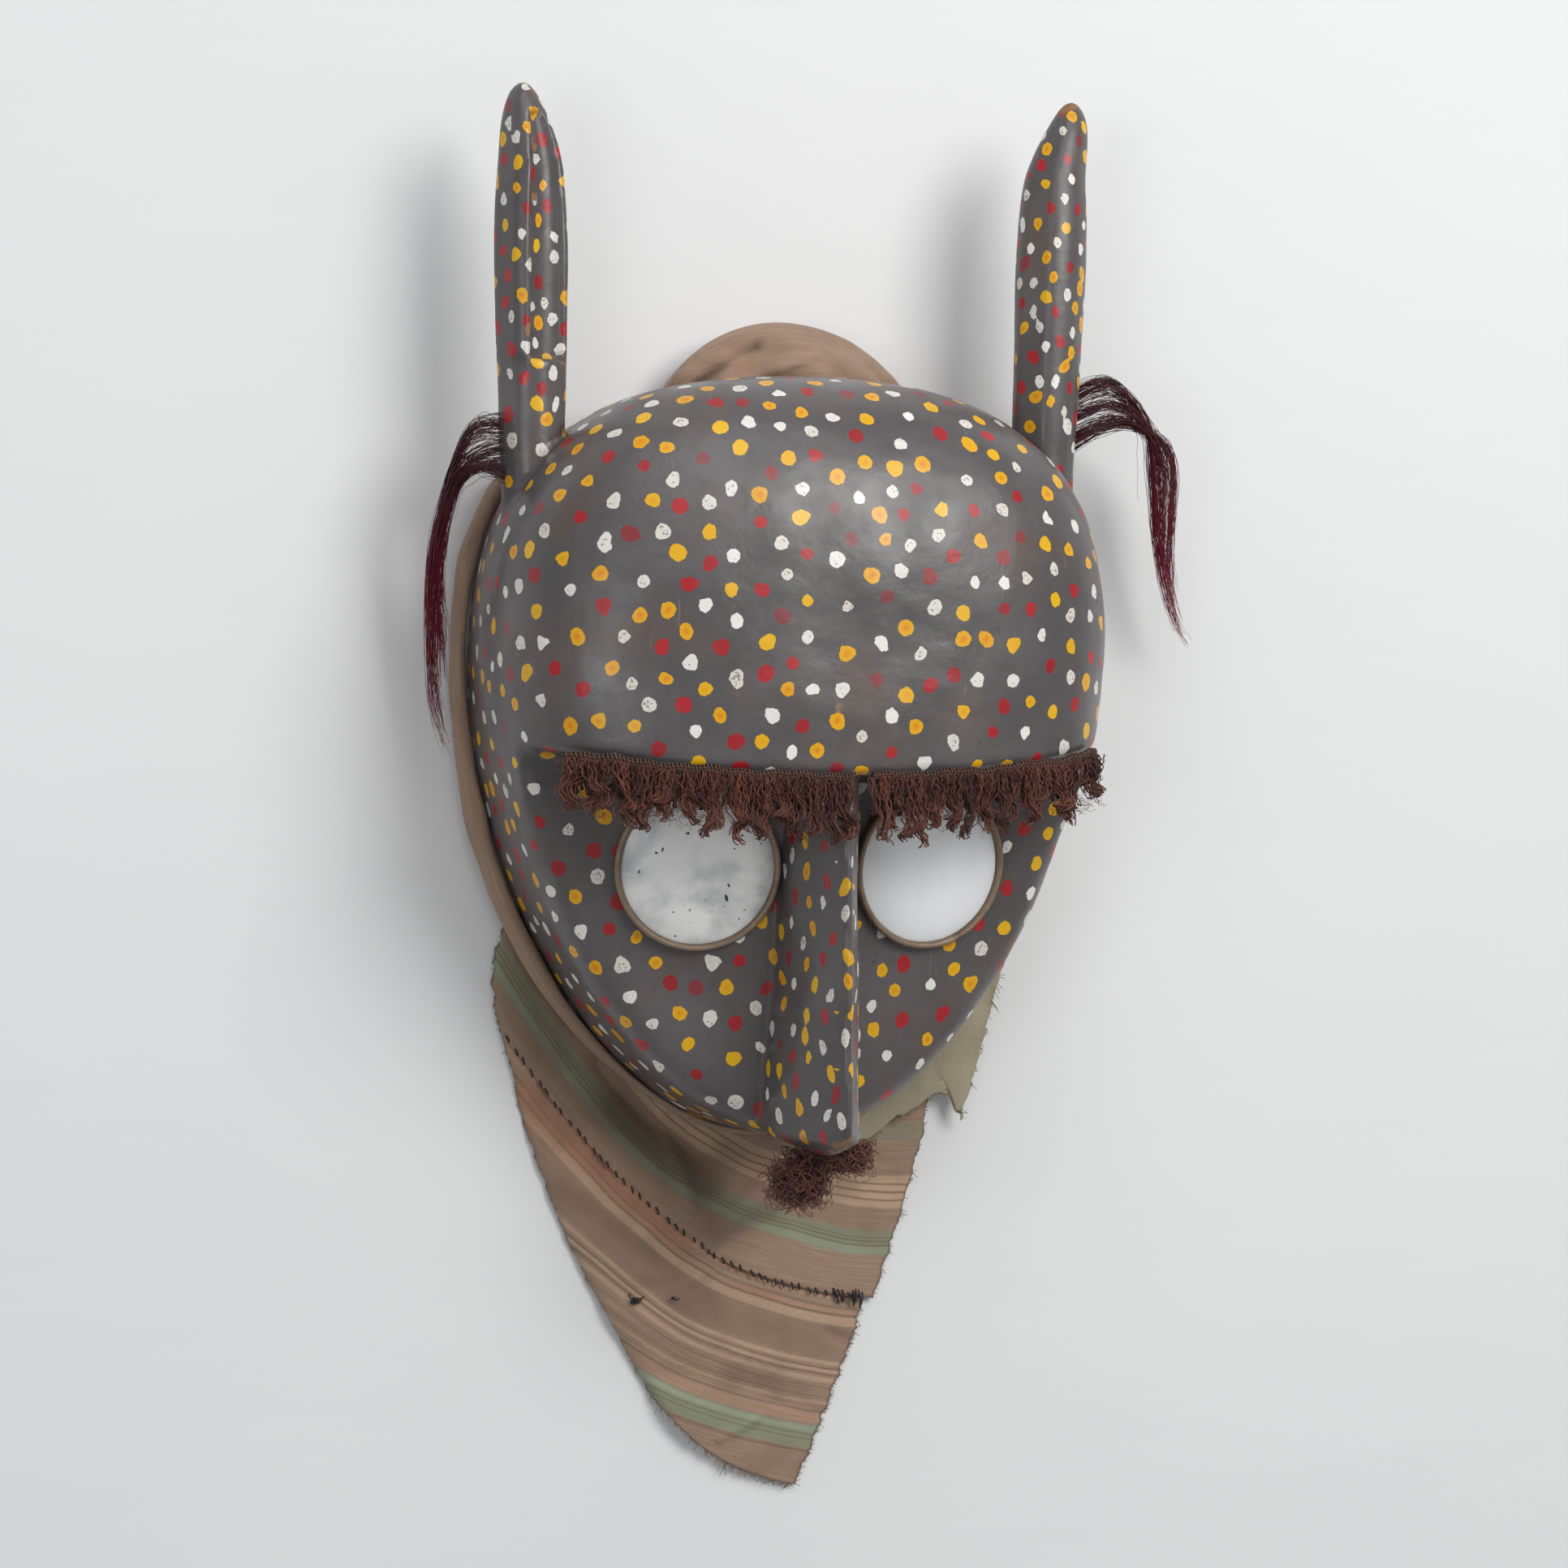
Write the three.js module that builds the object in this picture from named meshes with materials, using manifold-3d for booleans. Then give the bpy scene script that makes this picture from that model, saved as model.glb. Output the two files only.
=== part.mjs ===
// A carved and painted wooden leopard mask: a hollow head with two tall ears, the left one
// grooved, and a long nose, two round pocket mirrors for eyes, yarn fringes for brows, a yarn
// beard, a hair tuft at each ear, and a cotton hood cloth rolled round the rim that ends in two
// sewn strips.
// Millimetres. The mask lies on its back: x runs to the viewer's right, y from the chin towards
// the ears, z out of the face. The carver's own zero is on the flat back, on the middle line,
// level with the widest part of the head. The whole is then set over the middle of its own box.

import * as THREE from "three";
import Module from "manifold-3d";

const wasm = await Module();
wasm.setup();

const { lerp, smoothstep, degToRad } = THREE.MathUtils;

// The hollow head
const HEAD_HALF_WIDTH = 128;
const CROWN_REACH = 104; // from the widest line up to the crown
const CHIN_REACH = 205; // from the widest line down to the chin
const CROWN_POWER = 2.5; // how square the outline is above the widest line
const CHIN_POWER = 1.85; // and below it, where it is nearly an ellipse
const HEAD_DEPTH = 130;
const WIDEST_HEIGHT = 55; // the level at which the head is widest
const DOME_POWER = 2.8; // how full the forehead is
const RIM_TUCK = 9; // how far the rim is drawn in from the widest level, at the crown
const WALL = 14;
const DOME_STEPS = 12;
const HEAD_SPOKES = 52;
const HOLLOW_SPOKES = 40;

// The face, a pair of flat planes cut back under the brow
const BROW_DROP = 58; // the brow's edge below the widest line, on the middle line
const BROW_ARCH = 12.5; // how much higher that edge is at the head's full half width
const FACE_STEP = 35; // the face under the brow, below the top of the forehead
const FACE_HEIGHT = HEAD_DEPTH - FACE_STEP;
const FACE_LEAN = 0.16; // fall of the face towards the chin, for each millimetre
const FACE_SPLAY = degToRad(9.5); // how far each half of the face turns outwards
const BROW_FILLET = 4;
const CHEEK_ROUNDING = 12; // of the edge between the face and the head's sides

// The nose, a tall ridge from the brow to past the chin
const NOSE_TOP_DROP = 40;
const NOSE_OVERHANG = 5; // how far its tip reaches past the chin
const NOSE_TIP_DROP = CHIN_REACH + NOSE_OVERHANG;
const NOSE_RIDGE_BELOW = 2; // its ridge below the top of the forehead
const NOSE_RIDGE_HEIGHT = HEAD_DEPTH - NOSE_RIDGE_BELOW;
const NOSE_HALF_WIDTH = 13;
const NOSE_TIP_HALF_WIDTH = 19;
const NOSE_TIP_ROUNDING = 11;
const NOSE_TIP_UNDERCUT = 30; // how far the underside rises from the chin to the tip

// The ears. Only the left one has a groove, which faces partly inwards.
const EAR_INSET = 19; // from the head's widest line in to an ear's axis at its root
const EAR_SPREAD = HEAD_HALF_WIDTH - EAR_INSET;
const EAR_HEIGHT = 52; // level of the ears' axes
const EAR_ROOT = 38;
const EAR_LENGTH = 182.5;
const LEFT_EAR_FLICK = 3; // outwards, at the tip
const RIGHT_EAR_FLICK = 6;
const RIGHT_EAR_EXTRA = 2; // in length
const LEFT_EAR_LEAN = 1; // outwards, over the ear's length
const RIGHT_EAR_LEAN = 8;
const EAR_HALF_WIDTH = 15;
const EAR_HALF_DEPTH = 14;
const EAR_POINT = 75; // the length over which the ear comes to its point
const EAR_ROOT_LOSS = 2.6;
const GROOVE_HALF_WIDTH = 9.5;
const GROOVE_DEPTH = 7.5;
const GROOVE_TURN = degToRad(25); // from the ear's front towards the middle line
const GROOVE_TOP = 9; // below the tip
const GROOVE_FOOT = 112;
const EARS = [
  {
    side: -1,
    length: EAR_LENGTH,
    lean: LEFT_EAR_LEAN,
    flick: LEFT_EAR_FLICK,
    turn: degToRad(-4),
    grooved: true,
  },
  {
    side: 1,
    length: EAR_LENGTH + RIGHT_EAR_EXTRA,
    lean: RIGHT_EAR_LEAN,
    flick: RIGHT_EAR_FLICK,
    turn: degToRad(14),
    grooved: false,
  },
];

// The mirrors and their tin frames
const GAP = 0.3; // between pieces that touch
const FRAME_RADIUS = 33.8;
const FRAME_WALL = 2.3;
const FRAME_HEIGHT = 4.6;
const FRAME_LIP = 0.9; // how far the frame's lip reaches in over the glass
const MIRROR_RADIUS = FRAME_RADIUS - FRAME_WALL - GAP;
const MIRROR_THICKNESS = 2;
const EYE_CLEARANCE = 0.6; // from a frame to the nose, and to the curve under the brow
const EYE_SIDES = 32;

// The yarn fringes on the brow. Each runs along it from one share of the head's half width to
// another.
const BRAID_HEIGHT = 5;
const FRINGE_RISE = 1; // the braid's top above the brow's edge
const FRINGE_LENGTH = 27;
const FRINGE_THICKNESS = 7;
const FRINGE_OFF = 1.3; // between the forehead and the fringe's back
const FRINGES = [
  { name: "left", from: -0.852, to: 0.008 },
  { name: "right", from: 0.063, to: 0.89 },
];

// The beard under the nose
const BEARD_BELOW = 7; // its middle past the nose's tip
const BEARD_BACK = 43; // and behind the nose's ridge
const BEARD_CENTRE = new THREE.Vector3(
  2.5,
  -NOSE_TIP_DROP - BEARD_BELOW,
  NOSE_RIDGE_HEIGHT - BEARD_BACK,
);
const BEARD_HALF_SIZE = new THREE.Vector3(21, 15, 15);

// The hair tufts. Each is a centre line from the ear's axis at its root, outwards, up and
// forwards, with its half widths on the way, all as shares of the hair's drop.
const HAIR_DROP = 128;
const TUFT_CLEARANCE = 0.5;
const TUFTS = [
  {
    name: "left",
    side: -1,
    line: [
      [0.078, 0.266, 0],
      [0.148, 0.328, 0.016],
      [0.211, 0.297, -0.008],
      [0.258, 0.172, -0.062],
      [0.27, -0.062, -0.133],
      [0.273, -0.297, -0.188],
      [0.242, -0.5, -0.234],
      [0.172, -0.672, -0.266],
    ],
    halfWidths: [0.102, 0.07, 0.055, 0.051, 0.047, 0.035, 0.02, 0.008],
  },
  {
    name: "right",
    side: 1,
    line: [
      [0.102, 0.391, 0],
      [0.164, 0.484, 0.016],
      [0.25, 0.516, 0],
      [0.336, 0.461, -0.039],
      [0.398, 0.352, -0.078],
      [0.477, 0.172, -0.117],
      [0.508, -0.016, -0.156],
      [0.547, -0.188, -0.188],
      [0.609, -0.344, -0.219],
    ],
    halfWidths: [0.102, 0.078, 0.062, 0.047, 0.055, 0.055, 0.039, 0.027, 0.008],
  },
];
const TUFT_FLATNESS = 0.5; // half thickness as a share of half width
const TUFT_STEPS = 14;

// The hood cloth: a roll along the rim, bunched up behind the crown
const ROLL_HALF_WIDTH = 3.4;
const ROLL_HALF_HEIGHT = 5.4;
const ROLL_HEIGHT = 9.6;
const ROLL_CLEARANCE = 1.8;
const BUNCH_FROM = -40;
const BUNCH_TO = 66;
const BUNCH_REACH = 128; // the highest point of the bunch, from the widest line
const BUNCH_HEIGHT = 17;
const BUNCH_HALF_HEIGHT = 14;

// The two strips that hang from the hood. The upper one starts under the roll, from one angle
// round the rim to another. A bent row is a start, a pull and an end.
const CLOTH_THICKNESS = 2.4;
const STRIP_FROM_ANGLE = degToRad(-133);
const STRIP_TO_ANGLE = degToRad(-59);
const SEAM = [
  [-109, -163],
  [-38, -272],
  [53, -278],
];
const HEM = [
  [-44, -315],
  [-23, -347],
  [18, -355],
];
const SEAM_GAP = 0.8;
const UPPER_BULGE = [5, 9]; // of the strip's left and right edges
const LOWER_BULGE = [8.5, 0];
const SWELL = 9; // how far the strips rise off what they lie on
const SWELL_FROM_EDGE = 0.3; // the share of the width over which they rise
const STRIP_COLUMNS = 18;
const STRIP_ROWS = 6;

// The torn corner of the hood beside the chin, over the upper strip
const CORNER_FROM_ANGLE = degToRad(-46);
const CORNER_TO_ANGLE = degToRad(-73);
const CORNER_TOP = [109, -138];
const CORNER_POINT = [89, -206];
const CORNER_END = [50, -206];
const CORNER_TURN = 0.6; // where along the piece its point is
const CORNER_NOTCH = 10;
const CORNER_HEIGHT = 8.5; // of its free edge

const paint = new THREE.MeshStandardMaterial({ color: 0x66666b, roughness: 0.4 });
const glass = new THREE.MeshStandardMaterial({ color: 0xd5dbe0, roughness: 0.05, metalness: 1 });
const tin = new THREE.MeshStandardMaterial({ color: 0x9c8266, roughness: 0.5, metalness: 0.4 });
const yarn = new THREE.MeshStandardMaterial({ color: 0x57302a, roughness: 0.95 });
const hair = new THREE.MeshStandardMaterial({ color: 0x4a1422, roughness: 0.6 });
const cotton = new THREE.MeshStandardMaterial({ color: 0x94806c, roughness: 0.95 });

// A closed solid from vertices and triangles, turned the right way out.
function solid(points, triangles) {
  const build = (order) =>
    new wasm.Manifold(
      new wasm.Mesh({
        numProp: 3,
        vertProperties: new Float32Array(points.flatMap((p) => [p.x, p.y, p.z])),
        triVerts: new Uint32Array(order),
      }),
    );
  const body = build(triangles);
  return body.volume() < 0 ? build(triangles.toReversed()) : body;
}

// A solid through rings of points. Its ends are flat fans, or it closes on itself as a loop.
function loft(rings, loop = false) {
  const count = rings[0].length;
  const points = rings.flat();
  const triangles = [];
  const last = loop ? rings.length : rings.length - 1;
  for (let r = 0; r < last; r++) {
    const next = (r + 1) % rings.length;
    for (let k = 0; k < count; k++) {
      const a = r * count + k;
      const b = r * count + ((k + 1) % count);
      const c = next * count + k;
      const d = next * count + ((k + 1) % count);
      triangles.push(a, b, d, a, d, c);
    }
  }
  if (!loop) {
    for (const r of [0, rings.length - 1]) {
      const middle = new THREE.Vector3();
      rings[r].forEach((p) => middle.addScaledVector(p, 1 / count));
      const hub = points.push(middle) - 1;
      for (let k = 0; k < count; k++) {
        const a = r * count + k;
        const b = r * count + ((k + 1) % count);
        triangles.push(...(r === 0 ? [hub, b, a] : [hub, a, b]));
      }
    }
  }
  return solid(points, triangles);
}

function mesh(name, body, material) {
  const made = body.getMesh();
  const position = new THREE.BufferAttribute(new Float32Array(made.vertProperties), 3);
  const geometry = new THREE.BufferGeometry().setAttribute("position", position);
  geometry.setIndex(new THREE.BufferAttribute(new Uint32Array(made.triVerts), 1));
  geometry.computeVertexNormals();
  const result = new THREE.Mesh(geometry, material);
  result.name = name;
  return result;
}

// The head's outline seen from the front, as a radius for each angle, drawn in by inset.
function outlineRadius(angle, inset = 0) {
  const up = smoothstep(Math.sin(angle), -0.35, 0.35);
  const power = lerp(CHIN_POWER, CROWN_POWER, up);
  const reach = lerp(CHIN_REACH, CROWN_REACH, up) - inset;
  const across = Math.abs(Math.cos(angle) / (HEAD_HALF_WIDTH - inset)) ** power;
  const along = Math.abs(Math.sin(angle) / reach) ** power;
  return (across + along) ** (-1 / power);
}

// The outline at a level. Below the widest one it is drawn in, most at the crown and not at
// the chin.
function wallRadius(angle, height, inset = 0) {
  const below = 1 - Math.min(Math.max(height, 0) / WIDEST_HEIGHT, 1);
  const tuck = RIM_TUCK * smoothstep(Math.sin(angle), -0.7, 0.5);
  return outlineRadius(angle, inset) - tuck * below ** 2;
}

// A point just off the wall, at a level.
function besideWall(angle, height, off) {
  const radius = wallRadius(angle, height) + off;
  return [radius * Math.cos(angle), radius * Math.sin(angle)];
}

// The forehead's level over a point of the front view.
function foreheadHeight(x, y) {
  const share = Math.min(Math.hypot(x, y) / outlineRadius(Math.atan2(y, x)), 1);
  const rise = (1 - share ** DOME_POWER) ** (1 / DOME_POWER);
  return WIDEST_HEIGHT + (HEAD_DEPTH - WIDEST_HEIGHT) * rise;
}

// A filled head shape, inset all round, from a level at or under the back up to the forehead.
function headShape(inset, backHeight, spokes) {
  const rise = HEAD_DEPTH - inset - WIDEST_HEIGHT;
  const levels = [0, 0.22, 0.5].map((share) => [1, share * WIDEST_HEIGHT]);
  levels[0][1] = backHeight;
  for (let k = 0; k < DOME_STEPS; k++) {
    const turn = (k / DOME_STEPS) * (Math.PI / 2);
    levels.push([
      Math.cos(turn) ** (2 / DOME_POWER),
      WIDEST_HEIGHT + rise * Math.sin(turn) ** (2 / DOME_POWER),
    ]);
  }
  return loft(
    levels.map(([share, height]) =>
      Array.from({ length: spokes }, (_, k) => {
        const angle = (k / spokes) * 2 * Math.PI;
        const radius = share * wallRadius(angle, height, inset);
        return new THREE.Vector3(radius * Math.cos(angle), radius * Math.sin(angle), height);
      }),
    ),
  );
}

function browLine(x) {
  return -BROW_DROP + BROW_ARCH * (x / HEAD_HALF_WIDTH) ** 2;
}

function noseHalfWidth(y) {
  const share = (-NOSE_TOP_DROP - y) / (NOSE_TIP_DROP - NOSE_TOP_DROP);
  return lerp(NOSE_HALF_WIDTH, NOSE_TIP_HALF_WIDTH, share);
}

// How far to the side an eye's centre is, for its frame to sit beside the nose.
function eyeSpread() {
  const beside = noseHalfWidth(-BROW_DROP - FRAME_RADIUS);
  return beside + FRAME_RADIUS * Math.cos(FACE_SPLAY) + EYE_CLEARANCE;
}

// How far below the widest line an eye's centre is, for its frame to sit under the brow.
function eyeDrop() {
  return -browLine(eyeSpread()) + BROW_FILLET + FRAME_RADIUS + EYE_CLEARANCE;
}

function faceHeight(x, y) {
  return FACE_HEIGHT + FACE_LEAN * (y + BROW_DROP) - Math.tan(FACE_SPLAY) * Math.abs(x);
}

// The space in front of the face: everything above its two planes, which round off towards
// the head's sides. It is moved back by inset to shape the hollow as well.
function faceSpace(inset, spokes) {
  const front = HEAD_DEPTH + 40;
  const ringAt = (radiusOf, heightOf) =>
    Array.from({ length: spokes }, (_, k) => {
      const angle = (k / spokes) * 2 * Math.PI;
      const radius = radiusOf(outlineRadius(angle, inset));
      const [x, y] = [radius * Math.cos(angle), radius * Math.sin(angle)];
      return new THREE.Vector3(x, y, heightOf(x, y));
    });
  const beyond = (radius) => radius * 1.15;
  const rings = [ringAt(beyond, () => front)];
  rings.push(ringAt(beyond, (x, y) => faceHeight(x, y) - inset - 2 * CHEEK_ROUNDING));
  for (const from of [0, 0.1, 0.3, 0.6, 1]) {
    const drop = CHEEK_ROUNDING * (1 - Math.sqrt(1 - (1 - from) ** 2));
    const into = (radius) => radius - from * CHEEK_ROUNDING;
    rings.push(ringAt(into, (x, y) => faceHeight(x, y) - inset - drop));
  }
  for (const share of [0.5, 0.02]) {
    rings.push(ringAt((radius) => radius * share, (x, y) => faceHeight(x, y) - inset));
  }
  return loft(rings);
}

// The space below the brow, whose wall curves into the face.
function browSpace(inset) {
  const side = HEAD_HALF_WIDTH + 20;
  const foot = -CHIN_REACH - 30;
  const front = HEAD_DEPTH + 40;
  const columns = 16;
  const rings = Array.from({ length: columns + 1 }, (_, k) => {
    const x = lerp(-side, side, k / columns);
    const brow = browLine(x) + inset;
    const ring = [new THREE.Vector3(x, foot, front), new THREE.Vector3(x, brow, front)];
    for (let turn = 0; turn <= 4; turn++) {
      const angle = (turn / 4) * (Math.PI / 2);
      const y = brow - BROW_FILLET * (1 - Math.cos(angle));
      const lift = BROW_FILLET * (1 - Math.sin(angle));
      ring.push(new THREE.Vector3(x, y, faceHeight(x, y) - inset + lift));
    }
    ring.push(new THREE.Vector3(x, foot, 0));
    return ring;
  });
  return loft(rings);
}

function faceCut(inset, spokes) {
  return faceSpace(inset, spokes).intersect(browSpace(inset));
}

function nose() {
  const stations = [0, 0.15, 0.35, 0.55, 0.75, 0.9];
  const length = NOSE_TIP_DROP - NOSE_TOP_DROP;
  const straight = stations.map((share) => share * (length - NOSE_TIP_ROUNDING));
  const rounded = [0, 0.35, 0.62, 0.83, 0.96].map(
    (share) => length - NOSE_TIP_ROUNDING * (1 - share),
  );
  const rings = [...straight, ...rounded].map((along) => {
    const y = -NOSE_TOP_DROP - along;
    const intoTip = Math.max(0, 1 - (length - along) / NOSE_TIP_ROUNDING);
    const narrow = Math.sqrt(1 - intoTip ** 2);
    const half = narrow * noseHalfWidth(y);
    const ridge = NOSE_RIDGE_HEIGHT - 5 * intoTip ** 2;
    const foot = faceHeight(half, y) - 6 + NOSE_TIP_UNDERCUT * intoTip;
    const ring = [new THREE.Vector3(-half, y, foot), new THREE.Vector3(half, y, foot)];
    const steps = 12;
    for (let k = 1; k < steps; k++) {
      const turn = (k / steps) * Math.PI;
      const up = Math.sin(turn);
      const out = Math.sign(Math.cos(turn)) * half * (1 - up ** 2.2) ** 0.8;
      ring.push(new THREE.Vector3(out, y, lerp(foot, ridge, up)));
    }
    return ring;
  });
  return loft(rings);
}

// An ear's half width, as a function of the distance down from its tip.
function earHalfWidth(down, length) {
  const point = Math.sqrt(1 - Math.max(0, 1 - down / EAR_POINT) ** 2.4);
  const loss = Math.max(0, down - EAR_POINT) / (length - EAR_POINT);
  return EAR_HALF_WIDTH * point - EAR_ROOT_LOSS * loss;
}

// A point of an ear's cross-section, given in the ear's own width and depth directions.
function earPoint(ear, down, across, out) {
  const up = 1 - down / ear.length;
  const flick = ear.flick * smoothstep(up, 0.8, 1);
  const x = ear.side * (EAR_SPREAD + ear.lean * up + flick);
  const cos = Math.cos(ear.turn);
  const sin = Math.sin(ear.turn);
  return new THREE.Vector3(
    x + across * cos + out * sin,
    EAR_ROOT + ear.length - down,
    EAR_HEIGHT - across * sin + out * cos,
  );
}

// An ellipse's points in an ear's own directions, with its half axes, its middle and its turn.
function earSection(ear, down, { half, deep, across = 0, out = 0, turn = 0 }, points) {
  return Array.from({ length: points }, (_, k) => {
    const around = (k / points) * 2 * Math.PI;
    const [a, b] = [half * Math.cos(around), deep * Math.sin(around)];
    const cos = Math.cos(turn);
    const sin = Math.sin(turn);
    return earPoint(ear, down, across + a * cos + b * sin, out - a * sin + b * cos);
  });
}

function earBlade(ear) {
  const shares = [0.003, 0.02, 0.055, 0.11, 0.19, 0.3, 0.44, 0.6, 0.77, 1];
  return loft(
    shares.map((share) => {
      const down = share * ear.length;
      const half = earHalfWidth(down, ear.length);
      const deep = (half * EAR_HALF_DEPTH) / EAR_HALF_WIDTH;
      return earSection(ear, down, { half, deep }, 20);
    }),
  );
}

function earGroove(ear) {
  return loft(
    [0, 0.12, 0.3, 0.6, 1].map((share) => {
      const down = lerp(GROOVE_TOP, GROOVE_FOOT, share);
      const width = earHalfWidth(down, ear.length);
      const narrow = earHalfWidth(down - GROOVE_TOP + 1, ear.length) / EAR_HALF_WIDTH;
      const section = {
        half: GROOVE_HALF_WIDTH * narrow,
        deep: GROOVE_DEPTH * narrow,
        across: -ear.side * width * Math.sin(GROOVE_TURN),
        out: ((width * EAR_HALF_DEPTH) / EAR_HALF_WIDTH) * Math.cos(GROOVE_TURN),
        turn: -ear.side * GROOVE_TURN,
      };
      return earSection(ear, down, section, 12);
    }),
  );
}

function carvedHead() {
  const hollow = headShape(WALL, -5, HOLLOW_SPOKES).subtract(faceCut(WALL, HOLLOW_SPOKES));
  let head = headShape(0, 0, HEAD_SPOKES).subtract(faceCut(0, HEAD_SPOKES)).add(nose());
  for (const ear of EARS) head = head.add(earBlade(ear));
  head = head.subtract(hollow);
  for (const ear of EARS) if (ear.grooved) head = head.subtract(earGroove(ear));
  return head;
}

// One eye: the glass and its frame, lying on the face plane.
function eye(side, name) {
  const group = new THREE.Group();
  const [x, y] = [side * eyeSpread(), -eyeDrop()];
  group.position.set(x, y, faceHeight(x, y));
  const out = new THREE.Vector3(side * Math.tan(FACE_SPLAY), -FACE_LEAN, 1).normalize();
  group.quaternion.setFromUnitVectors(new THREE.Vector3(0, 0, 1), out);

  const disc = new THREE.CylinderGeometry(MIRROR_RADIUS, MIRROR_RADIUS, MIRROR_THICKNESS, EYE_SIDES);
  disc.rotateX(Math.PI / 2).translate(0, 0, GAP + MIRROR_THICKNESS / 2);
  const mirror = new THREE.Mesh(disc, glass);
  mirror.name = "mirror_" + name;

  const bore = MIRROR_RADIUS + GAP;
  const lipUnder = GAP + MIRROR_THICKNESS + GAP;
  const lip = MIRROR_RADIUS - FRAME_LIP;
  const profile = [
    [bore, GAP],
    [FRAME_RADIUS, GAP],
    [FRAME_RADIUS, FRAME_HEIGHT - 0.8],
    [FRAME_RADIUS - 1, FRAME_HEIGHT],
    [lip, FRAME_HEIGHT - 0.6],
    [lip, lipUnder],
    [bore, lipUnder],
    [bore, GAP],
  ].map(([radius, height]) => new THREE.Vector2(radius, height));
  const ring = new THREE.LatheGeometry(profile, EYE_SIDES).rotateX(Math.PI / 2);
  const frame = new THREE.Mesh(ring, tin);
  frame.name = "mirror_frame_" + name;
  group.add(mirror, frame);
  return group;
}

// A fringe: a strip that follows the brow's edge and hangs down in front of the face.
function fringe({ from, to }) {
  const columns = 14;
  return loft(
    Array.from({ length: columns + 1 }, (_, k) => {
      const x = HEAD_HALF_WIDTH * lerp(from, to, k / columns);
      const top = browLine(x) + FRINGE_RISE;
      const bottom = top - FRINGE_LENGTH;
      const level = foreheadHeight(x, top);
      const slope = foreheadHeight(x + 0.5, top) - foreheadHeight(x - 0.5, top);
      const out = new THREE.Vector3(-slope, 0, 1).normalize();
      const at = (y, off) => new THREE.Vector3(x, y, level).addScaledVector(out, off);
      const full = FRINGE_OFF + FRINGE_THICKNESS;
      return [
        at(top, FRINGE_OFF),
        at(top, FRINGE_OFF + 3),
        at(top - BRAID_HEIGHT, full - 1),
        at(bottom + 8, full),
        at(bottom, full - 2),
        at(bottom, FRINGE_OFF),
      ];
    }),
  );
}

function beard(head) {
  const columns = 10;
  const points = 16;
  const lump = loft(
    Array.from({ length: columns }, (_, r) => {
      const turn = ((r + 0.5) / columns) * Math.PI;
      return Array.from({ length: points }, (_, k) => {
        const around = (k / points) * 2 * Math.PI;
        const ring = new THREE.Vector3(
          Math.cos(turn),
          Math.sin(turn) * Math.cos(around),
          Math.sin(turn) * Math.sin(around),
        );
        return ring.multiply(BEARD_HALF_SIZE).add(BEARD_CENTRE);
      });
    }),
  );
  return lump.subtract(head.translate([0, -TUFT_CLEARANCE, 0]));
}

// A hair tuft: a flat tapering strand bundle along its line, cut back to the ear.
function tuft({ side, line, halfWidths }, head) {
  const points = line.map(
    ([out, up, front]) =>
      new THREE.Vector3(
        side * (EAR_SPREAD + HAIR_DROP * out),
        EAR_ROOT + HAIR_DROP * up,
        EAR_HEIGHT + HAIR_DROP * front,
      ),
  );
  const curve = new THREE.CatmullRomCurve3(points);
  const rings = Array.from({ length: TUFT_STEPS + 1 }, (_, k) => {
    const share = k / TUFT_STEPS;
    const middle = curve.getPoint(share);
    const along = curve.getTangent(share);
    const wide = new THREE.Vector3(0, 0, 1).cross(along).normalize();
    const thick = along.clone().cross(wide).normalize();
    const place = share * (halfWidths.length - 1);
    const before = Math.min(Math.floor(place), halfWidths.length - 2);
    const half = HAIR_DROP * lerp(halfWidths[before], halfWidths[before + 1], place - before);
    return Array.from({ length: 10 }, (_, i) => {
      const turn = (i / 10) * 2 * Math.PI;
      return middle
        .clone()
        .addScaledVector(wide, half * Math.cos(turn))
        .addScaledVector(thick, TUFT_FLATNESS * half * Math.sin(turn));
    });
  });
  return loft(rings).subtract(head.translate([side * TUFT_CLEARANCE, 0, 0]));
}

// The rolled edge of the hood, all round the rim.
function rimRoll() {
  const spokes = 56;
  const points = 8;
  const rings = Array.from({ length: spokes }, (_, k) => {
    const angle = (k / spokes) * 2 * Math.PI;
    return Array.from({ length: points }, (_, i) => {
      const turn = (i / points) * 2 * Math.PI;
      const off = ROLL_CLEARANCE + ROLL_HALF_WIDTH * (1 + Math.cos(turn));
      const height = ROLL_HEIGHT + ROLL_HALF_HEIGHT * Math.sin(turn);
      return new THREE.Vector3(...besideWall(angle, ROLL_HEIGHT, off), height);
    });
  });
  return loft(rings, true);
}

// The bunch of cloth behind the crown.
function crownBunch() {
  const columns = 12;
  const points = 10;
  const rings = Array.from({ length: columns }, (_, k) => {
    const share = (k + 0.5) / columns;
    const x = lerp(BUNCH_FROM, BUNCH_TO, share);
    const foot = crownEdge(x) + GAP;
    const swell = Math.sin(Math.PI * share ** 0.85);
    const reach = Math.max((BUNCH_REACH - foot) * swell, 4);
    const half = BUNCH_HALF_HEIGHT * (0.3 + 0.7 * swell);
    return Array.from({ length: points }, (_, i) => {
      const turn = (i / points) * 2 * Math.PI;
      const y = foot + (reach / 2) * (1 + Math.cos(turn));
      return new THREE.Vector3(x, y, BUNCH_HEIGHT + half * Math.sin(turn));
    });
  });
  return loft(rings);
}

// How far up the wood reaches over x, at the widest level.
function crownEdge(x) {
  let angle = Math.PI / 2;
  for (let k = 0; k < 20; k++) angle = Math.acos(x / outlineRadius(angle));
  return outlineRadius(angle) * Math.sin(angle);
}

function bend([start, pull, end], share) {
  const a = (1 - share) ** 2;
  const b = 2 * share * (1 - share);
  const c = share ** 2;
  return [0, 1].map((i) => a * start[i] + b * pull[i] + c * end[i]);
}

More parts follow.
